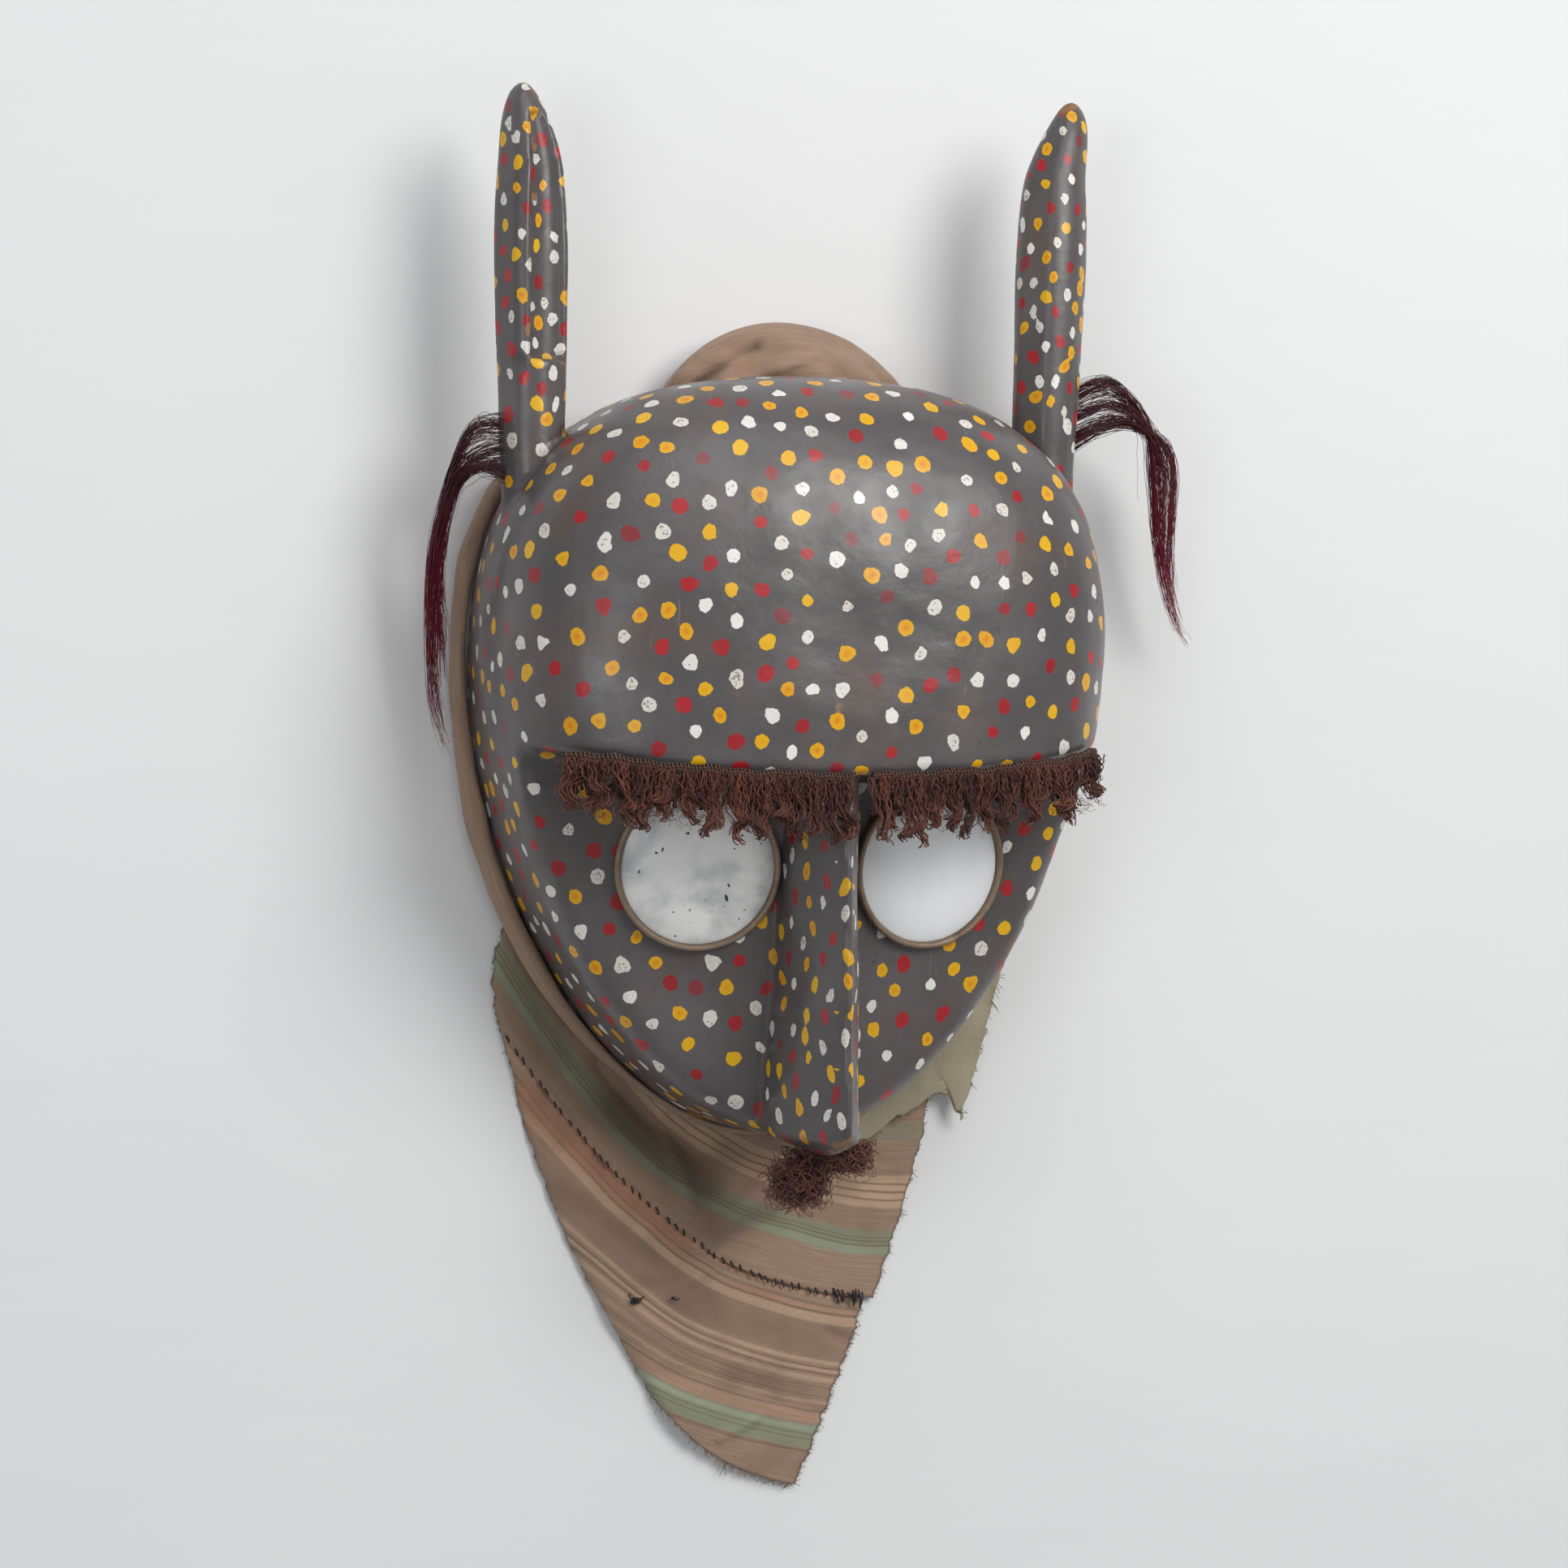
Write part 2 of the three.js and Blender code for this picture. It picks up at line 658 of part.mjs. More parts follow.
// A strip of cloth between two rows, each a function of the share of the way along it. It
// lies flat along its side edges and swells up between them.
function strip(first, last, swellFirst, swellLast, [bulgeLeft, bulgeRight]) {
  const rows = Array.from({ length: STRIP_ROWS + 1 }, (_, r) => {
    const down = r / STRIP_ROWS;
    return Array.from({ length: STRIP_COLUMNS + 1 }, (_, k) => {
      const share = k / STRIP_COLUMNS;
      const [ax, ay] = first(share);
      const [bx, by] = last(share);
      const bulge = bulgeLeft * (1 - share) ** 2 - bulgeRight * share ** 2;
      const out = bulge * Math.sin(Math.PI * down);
      const rising = 1 - Math.max(0, 1 - share / SWELL_FROM_EDGE) ** 2;
      const falling = smoothstep(1 - share, -0.1, 0.5);
      const swell = lerp(swellFirst, swellLast, down) * Math.sqrt(rising) * falling;
      const height = GAP + CLOTH_THICKNESS / 2 + swell;
      return new THREE.Vector3(lerp(ax, bx, down) - out, lerp(ay, by, down), height);
    });
  });
  return plate(rows);
}

// A plate of the cloth's thickness whose middle surface is a grid of points.
function plate(rows) {
  const up = new THREE.Vector3(0, 0, CLOTH_THICKNESS / 2);
  const outlines = rows.map((row) => [
    ...row.map((p) => p.clone().add(up)),
    ...row.toReversed().map((p) => p.clone().sub(up)),
  ]);
  const count = outlines[0].length;
  const points = outlines.flat();
  const triangles = [];
  for (let r = 0; r + 1 < outlines.length; r++) {
    for (let k = 0; k < count; k++) {
      const a = r * count + k;
      const b = r * count + ((k + 1) % count);
      triangles.push(a, b, b + count, a, b + count, a + count);
    }
  }
  for (const r of [0, outlines.length - 1]) {
    for (let k = 0; k < count / 2 - 1; k++) {
      const [a, b] = [r * count + k, r * count + k + 1];
      const [c, d] = [r * count + count - 1 - k, r * count + count - 2 - k];
      triangles.push(...(r === 0 ? [a, d, b, a, c, d] : [a, b, d, a, d, c]));
    }
  }
  return solid(points, triangles);
}

// The row where the upper strip starts, under the roll.
function underRoll(share) {
  const angle = lerp(STRIP_FROM_ANGLE, STRIP_TO_ANGLE, share);
  return besideWall(angle, 0, ROLL_CLEARANCE + ROLL_HALF_WIDTH);
}

function belowSeam(share) {
  const [x, y] = bend(SEAM, share);
  return [x, y - SEAM_GAP];
}

// The hood's torn corner: from inside the rim's roll out to a pointed, notched edge that lies
// on the upper strip.
function cornerCloth() {
  const columns = 14;
  const rows = Array.from({ length: 5 }, (_, r) => {
    const outward = r / 4;
    return Array.from({ length: columns + 1 }, (_, k) => {
      const share = k / columns;
      const angle = lerp(CORNER_FROM_ANGLE, CORNER_TO_ANGLE, share);
      const [rimX, rimY] = besideWall(angle, 0, ROLL_CLEARANCE + ROLL_HALF_WIDTH);
      const before = share < CORNER_TURN;
      const [from, to] = before ? [CORNER_TOP, CORNER_POINT] : [CORNER_POINT, CORNER_END];
      const part = before ? share / CORNER_TURN : (share - CORNER_TURN) / (1 - CORNER_TURN);
      const notch = before ? 0 : CORNER_NOTCH * Math.sin(Math.PI * part);
      const x = lerp(rimX, lerp(from[0], to[0], part), outward);
      const y = lerp(rimY, lerp(from[1], to[1], part) + notch, outward);
      return new THREE.Vector3(x, y, lerp(ROLL_HEIGHT, CORNER_HEIGHT, outward));
    });
  });
  return plate(rows);
}

const mask = new THREE.Group();
const head = carvedHead();
mask.add(mesh("carved_head", head, paint));
mask.add(eye(-1, "left"), eye(1, "right"));
for (const f of FRINGES) mask.add(mesh("brow_fringe_" + f.name, fringe(f), yarn));
mask.add(mesh("beard", beard(head), yarn));
for (const t of TUFTS) mask.add(mesh("ear_tuft_" + t.name, tuft(t, head), hair));
mask.add(mesh("hood_rim", rimRoll().add(crownBunch()).add(cornerCloth()), cotton));
const upper = strip(underRoll, (share) => bend(SEAM, share), 0, SWELL, UPPER_BULGE);
const lower = strip(belowSeam, (share) => bend(HEM, share), SWELL, SWELL / 3, LOWER_BULGE);
mask.add(mesh("hood_strip_upper", upper, cotton));
mask.add(mesh("hood_strip_lower", lower, cotton));

// The frame's zero is on the ground under the middle of the whole mask.
const box = new THREE.Box3().setFromObject(mask, true);
const middle = box.getCenter(new THREE.Vector3());
mask.position.set(-middle.x, -middle.y, -box.min.z);

export default mask;
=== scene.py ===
# The looks of a carved and painted leopard mask that lies on its back, built round its packed
# CAD part. Sizes are worked out in millimetres from the carver's own zero: the flat back, the
# middle line and the line where the head is widest. x runs to the viewer's right, y towards the
# ears and z out of the face.

import math

import bpy
import numpy as np
from mathutils import Matrix, Vector


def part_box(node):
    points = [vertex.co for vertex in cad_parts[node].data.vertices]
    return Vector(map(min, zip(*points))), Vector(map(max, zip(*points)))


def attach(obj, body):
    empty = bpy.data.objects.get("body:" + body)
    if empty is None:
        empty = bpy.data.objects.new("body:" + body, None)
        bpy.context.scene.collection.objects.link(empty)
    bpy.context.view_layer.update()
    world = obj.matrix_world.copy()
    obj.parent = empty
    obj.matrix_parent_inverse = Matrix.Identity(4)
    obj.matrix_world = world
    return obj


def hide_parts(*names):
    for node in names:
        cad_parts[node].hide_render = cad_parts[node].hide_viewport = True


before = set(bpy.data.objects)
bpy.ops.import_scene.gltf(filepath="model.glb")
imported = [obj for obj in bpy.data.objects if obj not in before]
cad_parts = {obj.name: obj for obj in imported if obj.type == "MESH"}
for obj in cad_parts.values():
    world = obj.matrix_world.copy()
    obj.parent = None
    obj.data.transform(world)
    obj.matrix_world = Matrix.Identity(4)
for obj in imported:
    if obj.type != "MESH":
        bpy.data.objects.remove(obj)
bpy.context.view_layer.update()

# The carved head
# One block of light wood, hollowed out from behind: a full domed forehead, a flat face cut back
# under the brow, a tall narrow nose and two long ears, all left a little uneven by the knife.
# It is painted grey and covered with brush dabs in white, yellow and red, worn at the edges.

HEAD_HALF_WIDTH = 128
CROWN_REACH = 104
CHIN_REACH = 205
CROWN_POWER = 2.5
CHIN_POWER = 1.85
HEAD_DEPTH = 130
WIDEST_HEIGHT = 55
DOME_POWER = 2.8
RIM_TUCK = 9
WALL = 14
BROW_DROP = 58
BROW_ARCH = 12.5
FACE_HEIGHT = 95
FACE_LEAN = 0.16
FACE_SPLAY = math.tan(math.radians(9.5))
NOSE_TOP_DROP = 40
NOSE_TIP_DROP = 210
NOSE_RIDGE_HEIGHT = 128
NOSE_HALF_WIDTH = 13
NOSE_TIP_HALF_WIDTH = 19
NOSE_TIP_ROUNDING = 11
NOSE_TIP_UNDERCUT = 30
EAR_SPREAD = 109
EAR_HEIGHT = 52
EAR_ROOT = 38
EAR_HALF_WIDTH = 15
EAR_HALF_DEPTH = 14
EAR_POINT = 75
EAR_ROOT_LOSS = 2.6
EARS = [
    {"side": -1, "length": 182.5, "lean": 1, "flick": 3, "turn": math.radians(-4), "grooved": True},
    {"side": 1, "length": 184.5, "lean": 8, "flick": 6, "turn": math.radians(14), "grooved": False},
]
GROOVE_HALF_WIDTH = 9.5
GROOVE_DEPTH = 7.5
GROOVE_TURN = math.radians(25)
GROOVE_TOP = 9
GROOVE_FOOT = 112
FRAME_RADIUS = 33.8
EYE_CLEARANCE = 0.6
BROW_FILLET = 4


def lerp(a, b, share):
    return a + (b - a) * share


def smoothstep(value, low, high):
    share = np.clip((value - low) / (high - low), 0, 1)
    return share * share * (3 - 2 * share)


def outline_radius(angle, inset=0.0):
    """The head's outline seen from the front: a superellipse whose power and reach pass from
    the chin's to the crown's."""
    up = smoothstep(np.sin(angle), -0.35, 0.35)
    power = lerp(CHIN_POWER, CROWN_POWER, up)
    reach = lerp(CHIN_REACH, CROWN_REACH, up) - inset
    across = np.abs(np.cos(angle) / (HEAD_HALF_WIDTH - inset)) ** power
    along = np.abs(np.sin(angle) / reach) ** power
    return (across + along) ** (-1 / power)


def wall_radius(angle, height, inset=0.0):
    """The outline at a level: below the widest one it is drawn in by a square law."""
    below = 1 - np.clip(height / WIDEST_HEIGHT, 0, 1)
    tuck = RIM_TUCK * smoothstep(np.sin(angle), -0.7, 0.5)
    return outline_radius(angle, inset) - tuck * below**2


def forehead_height(x, y):
    """The forehead's level over a point of the front view."""
    share = np.minimum(np.hypot(x, y) / outline_radius(np.arctan2(y, x)), 1)
    rise = (1 - share**DOME_POWER) ** (1 / DOME_POWER)
    return WIDEST_HEIGHT + (HEAD_DEPTH - WIDEST_HEIGHT) * rise


def brow_line(x):
    return -BROW_DROP + BROW_ARCH * (x / HEAD_HALF_WIDTH) ** 2


def face_height(x, y):
    return FACE_HEIGHT + FACE_LEAN * (y + BROW_DROP) - FACE_SPLAY * np.abs(x)


def nose_half_width(y):
    share = (-NOSE_TOP_DROP - y) / (NOSE_TIP_DROP - NOSE_TOP_DROP)
    return lerp(NOSE_HALF_WIDTH, NOSE_TIP_HALF_WIDTH, share)


def smooth_max(a, b, k):
    """The larger of two distances, rounded over a band of width k."""
    near = np.maximum(k - np.abs(a - b), 0) / k
    return np.maximum(a, b) + near * near * k / 4


def smooth_min(a, b, k):
    return -smooth_max(-a, -b, k)


def ripple(x, y, z, length, seed):
    """A smooth, seeded unevenness of about unit size: twelve sine waves that run in random
    directions, with wavelengths round the given one."""
    rng = np.random.default_rng(seed)
    total = 0.0
    for _ in range(12):
        way = rng.normal(size=3)
        way *= 2 * math.pi / (np.linalg.norm(way) * length * rng.uniform(0.7, 1.4))
        total = total + np.sin(way[0] * x + way[1] * y + way[2] * z + rng.uniform(0, 6.28))
    return total / 2.5


def core(x, y, z, inset):
    """Distance to the head without nose and ears, drawn in by inset: the wall up to the widest
    level and the dome above it, cut back to the face below the brow."""
    flat = np.hypot(x, y)
    angle = np.arctan2(y, x)
    outline = outline_radius(angle, inset)
    tuck = RIM_TUCK * smoothstep(np.sin(angle), -0.7, 0.5)
    below = 1 - np.clip(z / WIDEST_HEIGHT, 0, 1)
    wall = flat - outline + tuck * below**2
    above = np.maximum(z - WIDEST_HEIGHT, 0)
    rise = HEAD_DEPTH - inset - WIDEST_HEIGHT
    share = ((flat / outline) ** DOME_POWER + (above / rise) ** DOME_POWER) ** (1 / DOME_POWER)
    dome = np.hypot(flat, above) * (1 - 1 / np.maximum(share, 1e-3))
    solid = np.where(z < WIDEST_HEIGHT, wall, dome)
    face = (z - face_height(x, y) + inset) * 0.974
    brow = brow_line(x) + inset - y
    kept = smooth_min(face, brow, 9.0)
    edge = lerp(15.0, 4.5, smoothstep(y, BROW_DROP * -1.6, -BROW_DROP))
    return smooth_max(solid, kept, edge)


def nose_distance(x, y, z):
    """Distance to the nose: in a section, the half width's power 1.1 plus the rise's square
    comes to one, less what the rounded tip takes."""
    half = nose_half_width(y)
    into_tip = np.maximum(0, 1 - (y + NOSE_TIP_DROP) / NOSE_TIP_ROUNDING)
    foot = face_height(half, y) - 6 + NOSE_TIP_UNDERCUT * np.minimum(into_tip, 1)
    tall = NOSE_RIDGE_HEIGHT - foot
    up = np.maximum(z - foot, 0) / tall
    across = np.abs(x) / half
    level = across**1.1 + up**2 + into_tip**2 - 1
    by_x = 1.1 * across**0.1 / half
    by_z = 2 * up / tall
    by_y = 2 * into_tip / NOSE_TIP_ROUNDING
    shape = level / np.sqrt(by_x**2 + by_z**2 + by_y**2 + 0.03**2)
    under = (foot - z) * lerp(1, 0.55, np.minimum(into_tip, 1))
    return smooth_max(smooth_max(shape, under, 3.0), y + NOSE_TOP_DROP, 4.0)


def ear_place(ear, x, y, z):
    """A point in an ear's own width, depth and distance down from the tip."""
    down = EAR_ROOT + ear["length"] - y
    up = 1 - down / ear["length"]
    lean = ear["lean"] * up + ear["flick"] * smoothstep(up, 0.8, 1)
    beside = x - ear["side"] * (EAR_SPREAD + lean)
    front = z - EAR_HEIGHT
    turn_cos = math.cos(ear["turn"])
    turn_sin = math.sin(ear["turn"])
    return beside * turn_cos - front * turn_sin, beside * turn_sin + front * turn_cos, down


def ear_distance(ear, x, y, z):
    """Distance to an ear: an ellipse in section that comes to a point by a power of 2.4, with
    two knife-cut flats that leave a long edge between them. The groove is a turned ellipse
    centred on the surface."""
    across, out, down = ear_place(ear, x, y, z)
    into_point = np.maximum(0, 1 - down / EAR_POINT)
    loss = EAR_ROOT_LOSS * np.maximum(0, down - EAR_POINT) / (ear["length"] - EAR_POINT)
    wide = EAR_HALF_WIDTH - loss
    deep = wide * EAR_HALF_DEPTH / EAR_HALF_WIDTH
    level = (across / wide) ** 2 + (out / deep) ** 2 + into_point**2.4 - 1
    by_across = 2 * across / wide**2
    by_out = 2 * out / deep**2
    by_down = 2.4 * into_point**1.4 / EAR_POINT
    blade = level / np.sqrt(by_across**2 + by_out**2 + by_down**2 + 0.02**2)
    narrow = np.sqrt(np.maximum(1 - into_point**2.4, 0.0))
    for flat_turn, reach in ((150, 0.88), (64, 0.93)):
        way = math.radians(flat_turn)
        flat = across * math.cos(way) + out * math.sin(way) - reach * wide * narrow
        blade = smooth_max(blade, flat, 0.6)
    blade = smooth_max(blade, down - ear["length"], 2.0)
    if not ear["grooved"]:
        return blade
    groove_narrow = 1 - np.clip(1 - (down - GROOVE_TOP) / EAR_POINT, 0, 1) ** 2.4
    groove_narrow = np.sqrt(np.maximum(groove_narrow, 0.02))
    lean = -ear["side"] * GROOVE_TURN
    aside = across - wide * narrow * math.sin(lean)
    above = out - deep * narrow * math.cos(lean)
    along_half = aside * math.cos(lean) - above * math.sin(lean)
    along_deep = aside * math.sin(lean) + above * math.cos(lean)
    half = GROOVE_HALF_WIDTH * groove_narrow
    depth = GROOVE_DEPTH * groove_narrow
    groove = (along_half / half) ** 2 + (along_deep / depth) ** 2 - 1
    steep = np.hypot(2 * along_half / half**2, 2 * along_deep / depth**2)
    groove = groove / np.sqrt(steep**2 + 0.05**2)
    groove = smooth_max(groove, GROOVE_TOP - down, 6.0)
    groove = smooth_max(groove, down - GROOVE_FOOT, 1.5)
    return smooth_max(blade, -groove, 1.0)


def head_distance(x, y, z):
    """Distance to the whole carving: core, nose and ears, less the hollow and all that would be
    behind the flat back."""
    solid = smooth_min(core(x, y, z, 0.0), nose_distance(x, y, z), 1.6)
    for ear in EARS:
        solid = smooth_min(solid, ear_distance(ear, x, y, z), 1.6)
    uneven = lerp(1.0, 0.35, smoothstep(y, 80.0, 115.0))
    solid = solid + uneven * (0.2 * ripple(x, y, z, 38.0, 1) + 0.05 * ripple(x, y, z, 13.0, 2))
    chip = 0.8 * (x + 112.5) - 0.3 * (y - 100) - (z - 66) + 1.1
    chip = smooth_max(chip, np.maximum(np.abs(x + 113) - 6, np.abs(y - 101 + 0.5 * x + 56.5) - 6.5), 1.0)
    solid = smooth_max(solid, -chip, 0.5)
    hollow = core(x, y, z, float(WALL)) + 0.5 * ripple(x, y, z, 22.0, 3)
    solid = smooth_max(solid, -hollow, 3.0)
    return smooth_max(solid, -z, 1.2)


def surface_net(distance, low, high, step):
    """The surface where a distance is nought, as points and four-sided faces. Each grid cell
    that it crosses gets one point, in the mean of its edges' crossings, then the point is moved
    onto the surface along the slope."""
    axes = [np.arange(low[i], high[i] + step, step) for i in range(3)]
    grid = distance(axes[0][:, None, None], axes[1][None, :, None], axes[2][None, None, :])
    inside = grid < 0
    cut = np.zeros([n - 1 for n in grid.shape], bool)
    corners = [(i, j, k) for i in (0, 1) for j in (0, 1) for k in (0, 1)]
    parts = [inside[i : i + cut.shape[0], j : j + cut.shape[1], k : k + cut.shape[2]] for i, j, k in corners]
    cut = np.any(parts, axis=0) & ~np.all(parts, axis=0)
    cells = np.argwhere(cut)
    values = np.stack([grid[tuple((cells + corner).T)] for corner in corners], 1)
    total = np.zeros((len(cells), 3))
    count = np.zeros(len(cells))
    for a, first in enumerate(corners):
        for b, second in enumerate(corners):
            if b > a and sum(np.abs(np.subtract(first, second))) == 1:
                crossed = (values[:, a] < 0) != (values[:, b] < 0)
                share = values[:, a] / np.where(crossed, values[:, a] - values[:, b], 1)
                place = np.array(first) + share[:, None] * np.subtract(second, first)
                total += np.where(crossed[:, None], place, 0)
                count += crossed
    points = np.array(low) + (cells + total / count[:, None]) * step
    number = np.full(cut.shape, -1)
    number[tuple(cells.T)] = np.arange(len(cells))
    faces = []
    for axis in range(3):
        other = [i for i in range(3) if i != axis]
        start = [slice(None)] * 3
        end = [slice(None)] * 3
        start[axis] = slice(None, -1)
        end[axis] = slice(1, None)
        for i in other:
            start[i] = slice(1, -1)
            end[i] = slice(1, -1)
        before = inside[tuple(start)]
        after = inside[tuple(end)]
        edges = np.argwhere(before != after)
        out = before[tuple(edges.T)]
        for i in other:
            edges[:, i] += 1
        step_u = np.zeros(3, int)
        step_v = np.zeros(3, int)
        step_u[other[0]] = 1
        step_v[other[1]] = 1
        ring = [edges, edges - step_u, edges - step_u - step_v, edges - step_v]
        quad = np.stack([number[tuple(place.T)] for place in ring], 1)
        flip = out if axis != 1 else ~out
        faces.append(np.where(flip[:, None], quad, quad[:, ::-1]))
    slope_step = 0.02
    for _ in range(2):
        x, y, z = points.T
        here = distance(x, y, z)
        slope = np.stack(
            [
                distance(x + slope_step, y, z) - here,
                distance(x, y + slope_step, z) - here,
                distance(x, y, z + slope_step) - here,
            ],
            1,
        ) / slope_step
        steep = np.maximum((slope**2).sum(1), 0.15)
        move = slope * (here / steep)[:, None]
        points = points - np.clip(move, -0.5 * step, 0.5 * step)
    return points, np.concatenate(faces)


# The eyes' places follow from the frames' size, and the frame's own zero from the eyes.
eye_level = nose_half_width(-BROW_DROP - FRAME_RADIUS)
eye_spread = eye_level + FRAME_RADIUS * math.cos(math.radians(9.5)) + EYE_CLEARANCE
eye_drop = -brow_line(eye_spread) + BROW_FILLET + FRAME_RADIUS + EYE_CLEARANCE
eye_boxes = [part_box("mirror_left"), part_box("mirror_right")]
eye_middles = [(low + high) / 2 * 1000 for low, high in eye_boxes]
ZERO = np.array(
    [
        (eye_middles[0].x + eye_middles[1].x) / 2,
        (eye_middles[0].y + eye_middles[1].y) / 2 + eye_drop,
        0.0,
    ]
)


def make_piece(name, points, faces, material, smooth=True):
    """A mesh object that rides on the mask, from points in millimetres."""
    mesh = bpy.data.meshes.new(name)
    faces = np.asarray(faces)
    mesh.vertices.add(len(points))
    mesh.vertices.foreach_set("co", ((np.asarray(points) + ZERO) / 1000).astype(np.float32).ravel())
    mesh.loops.add(faces.size)
    mesh.loops.foreach_set("vertex_index", faces.astype(np.int32).ravel())
    mesh.polygons.add(len(faces))
    mesh.polygons.foreach_set("loop_start", np.arange(0, faces.size, faces.shape[1], dtype=np.int32))
    mesh.update(calc_edges=True)
    mesh.polygons.foreach_set("use_smooth", np.full(len(faces), smooth))
    mesh.materials.append(material)
    piece = bpy.data.objects.new(name, mesh)
    bpy.context.scene.collection.objects.link(piece)
    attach(piece, "root")
    return piece


def set_attribute(piece, name, values):
    """Stores one number, or four, for each vertex."""
    kind = "FLOAT" if values.ndim == 1 else "FLOAT_COLOR"
    attribute = piece.data.attributes.new(name, kind, "POINT")
    key = "value" if values.ndim == 1 else "color"
    attribute.data.foreach_set(key, values.astype(np.float32).ravel())


def srgb(red, green, blue):
    """A display colour from 0 to 255 as linear light, with an alpha of one."""
    shares = np.array([red, green, blue]) / 255
    linear = np.where(shares < 0.04045, shares / 12.92, ((shares + 0.055) / 1.055) ** 2.4)
    return (*[float(v) for v in linear], 1.0)


class Finish:
    """A node material, with a short way to add each kind of node."""

    def __init__(self, name):
        self.material = bpy.data.materials.new(name)
        self.material.use_nodes = True
        self.tree = self.material.node_tree
        self.shader = self.tree.nodes["Principled BSDF"]
        self.place = self.tree.nodes.new("ShaderNodeTexCoord").outputs["Object"]

    def put(self, socket, value):
        if isinstance(value, bpy.types.NodeSocket):
            self.tree.links.new(value, socket)
        else:
            socket.default_value = value

    def set(self, **values):
        for name, value in values.items():
            self.put(self.shader.inputs[name.replace("_", " ")], value)

    def noise(self, scale, detail=2.0, place=None, out="Factor"):
        node = self.tree.nodes.new("ShaderNodeTexNoise")
        self.put(node.inputs["Vector"], place or self.place)
        node.inputs["Scale"].default_value = scale
        node.inputs["Detail"].default_value = detail
        return node.outputs["Fac"] if out == "Factor" else node.outputs["Color"]

    def stretch(self, scale, place=None):
        node = self.tree.nodes.new("ShaderNodeMapping")
        self.put(node.inputs["Vector"], place or self.place)
        node.inputs["Scale"].default_value = scale
        return node.outputs["Vector"]

    def math(self, operation, a, b=0.0, c=0.0):
        node = self.tree.nodes.new("ShaderNodeMath")
        node.operation = operation
        for socket, value in zip(node.inputs, (a, b, c)):
            self.put(socket, value)
        return node.outputs[0]

    def step(self, value, low, high, to_low=0.0, to_high=1.0):
        node = self.tree.nodes.new("ShaderNodeMapRange")
        node.interpolation_type = "SMOOTHSTEP"
        for name, number in zip(("Value", "From Min", "From Max", "To Min", "To Max"), (value, low, high, to_low, to_high)):
            self.put(node.inputs[name], number)
        return node.outputs[0]

    def mix(self, share, a, b, mode="MIX"):
        node = self.tree.nodes.new("ShaderNodeMix")
        node.data_type = "RGBA"
        node.blend_type = mode
        self.put(node.inputs[0], share)
        self.put(node.inputs[6], a)
        self.put(node.inputs[7], b)
        return node.outputs[2]

    def attribute(self, name):
        node = self.tree.nodes.new("ShaderNodeAttribute")
        node.attribute_name = name
        return node

    def split(self, colour):
        node = self.tree.nodes.new("ShaderNodeSeparateColor")
        self.put(node.inputs[0], colour)
        return node.outputs

    def bump(self, height, distance, strength=1.0):
        node = self.tree.nodes.new("ShaderNodeBump")
        node.inputs["Distance"].default_value = distance
        node.inputs["Strength"].default_value = strength
        self.put(node.inputs["Height"], height)
        self.put(self.shader.inputs["Normal"], node.outputs[0])


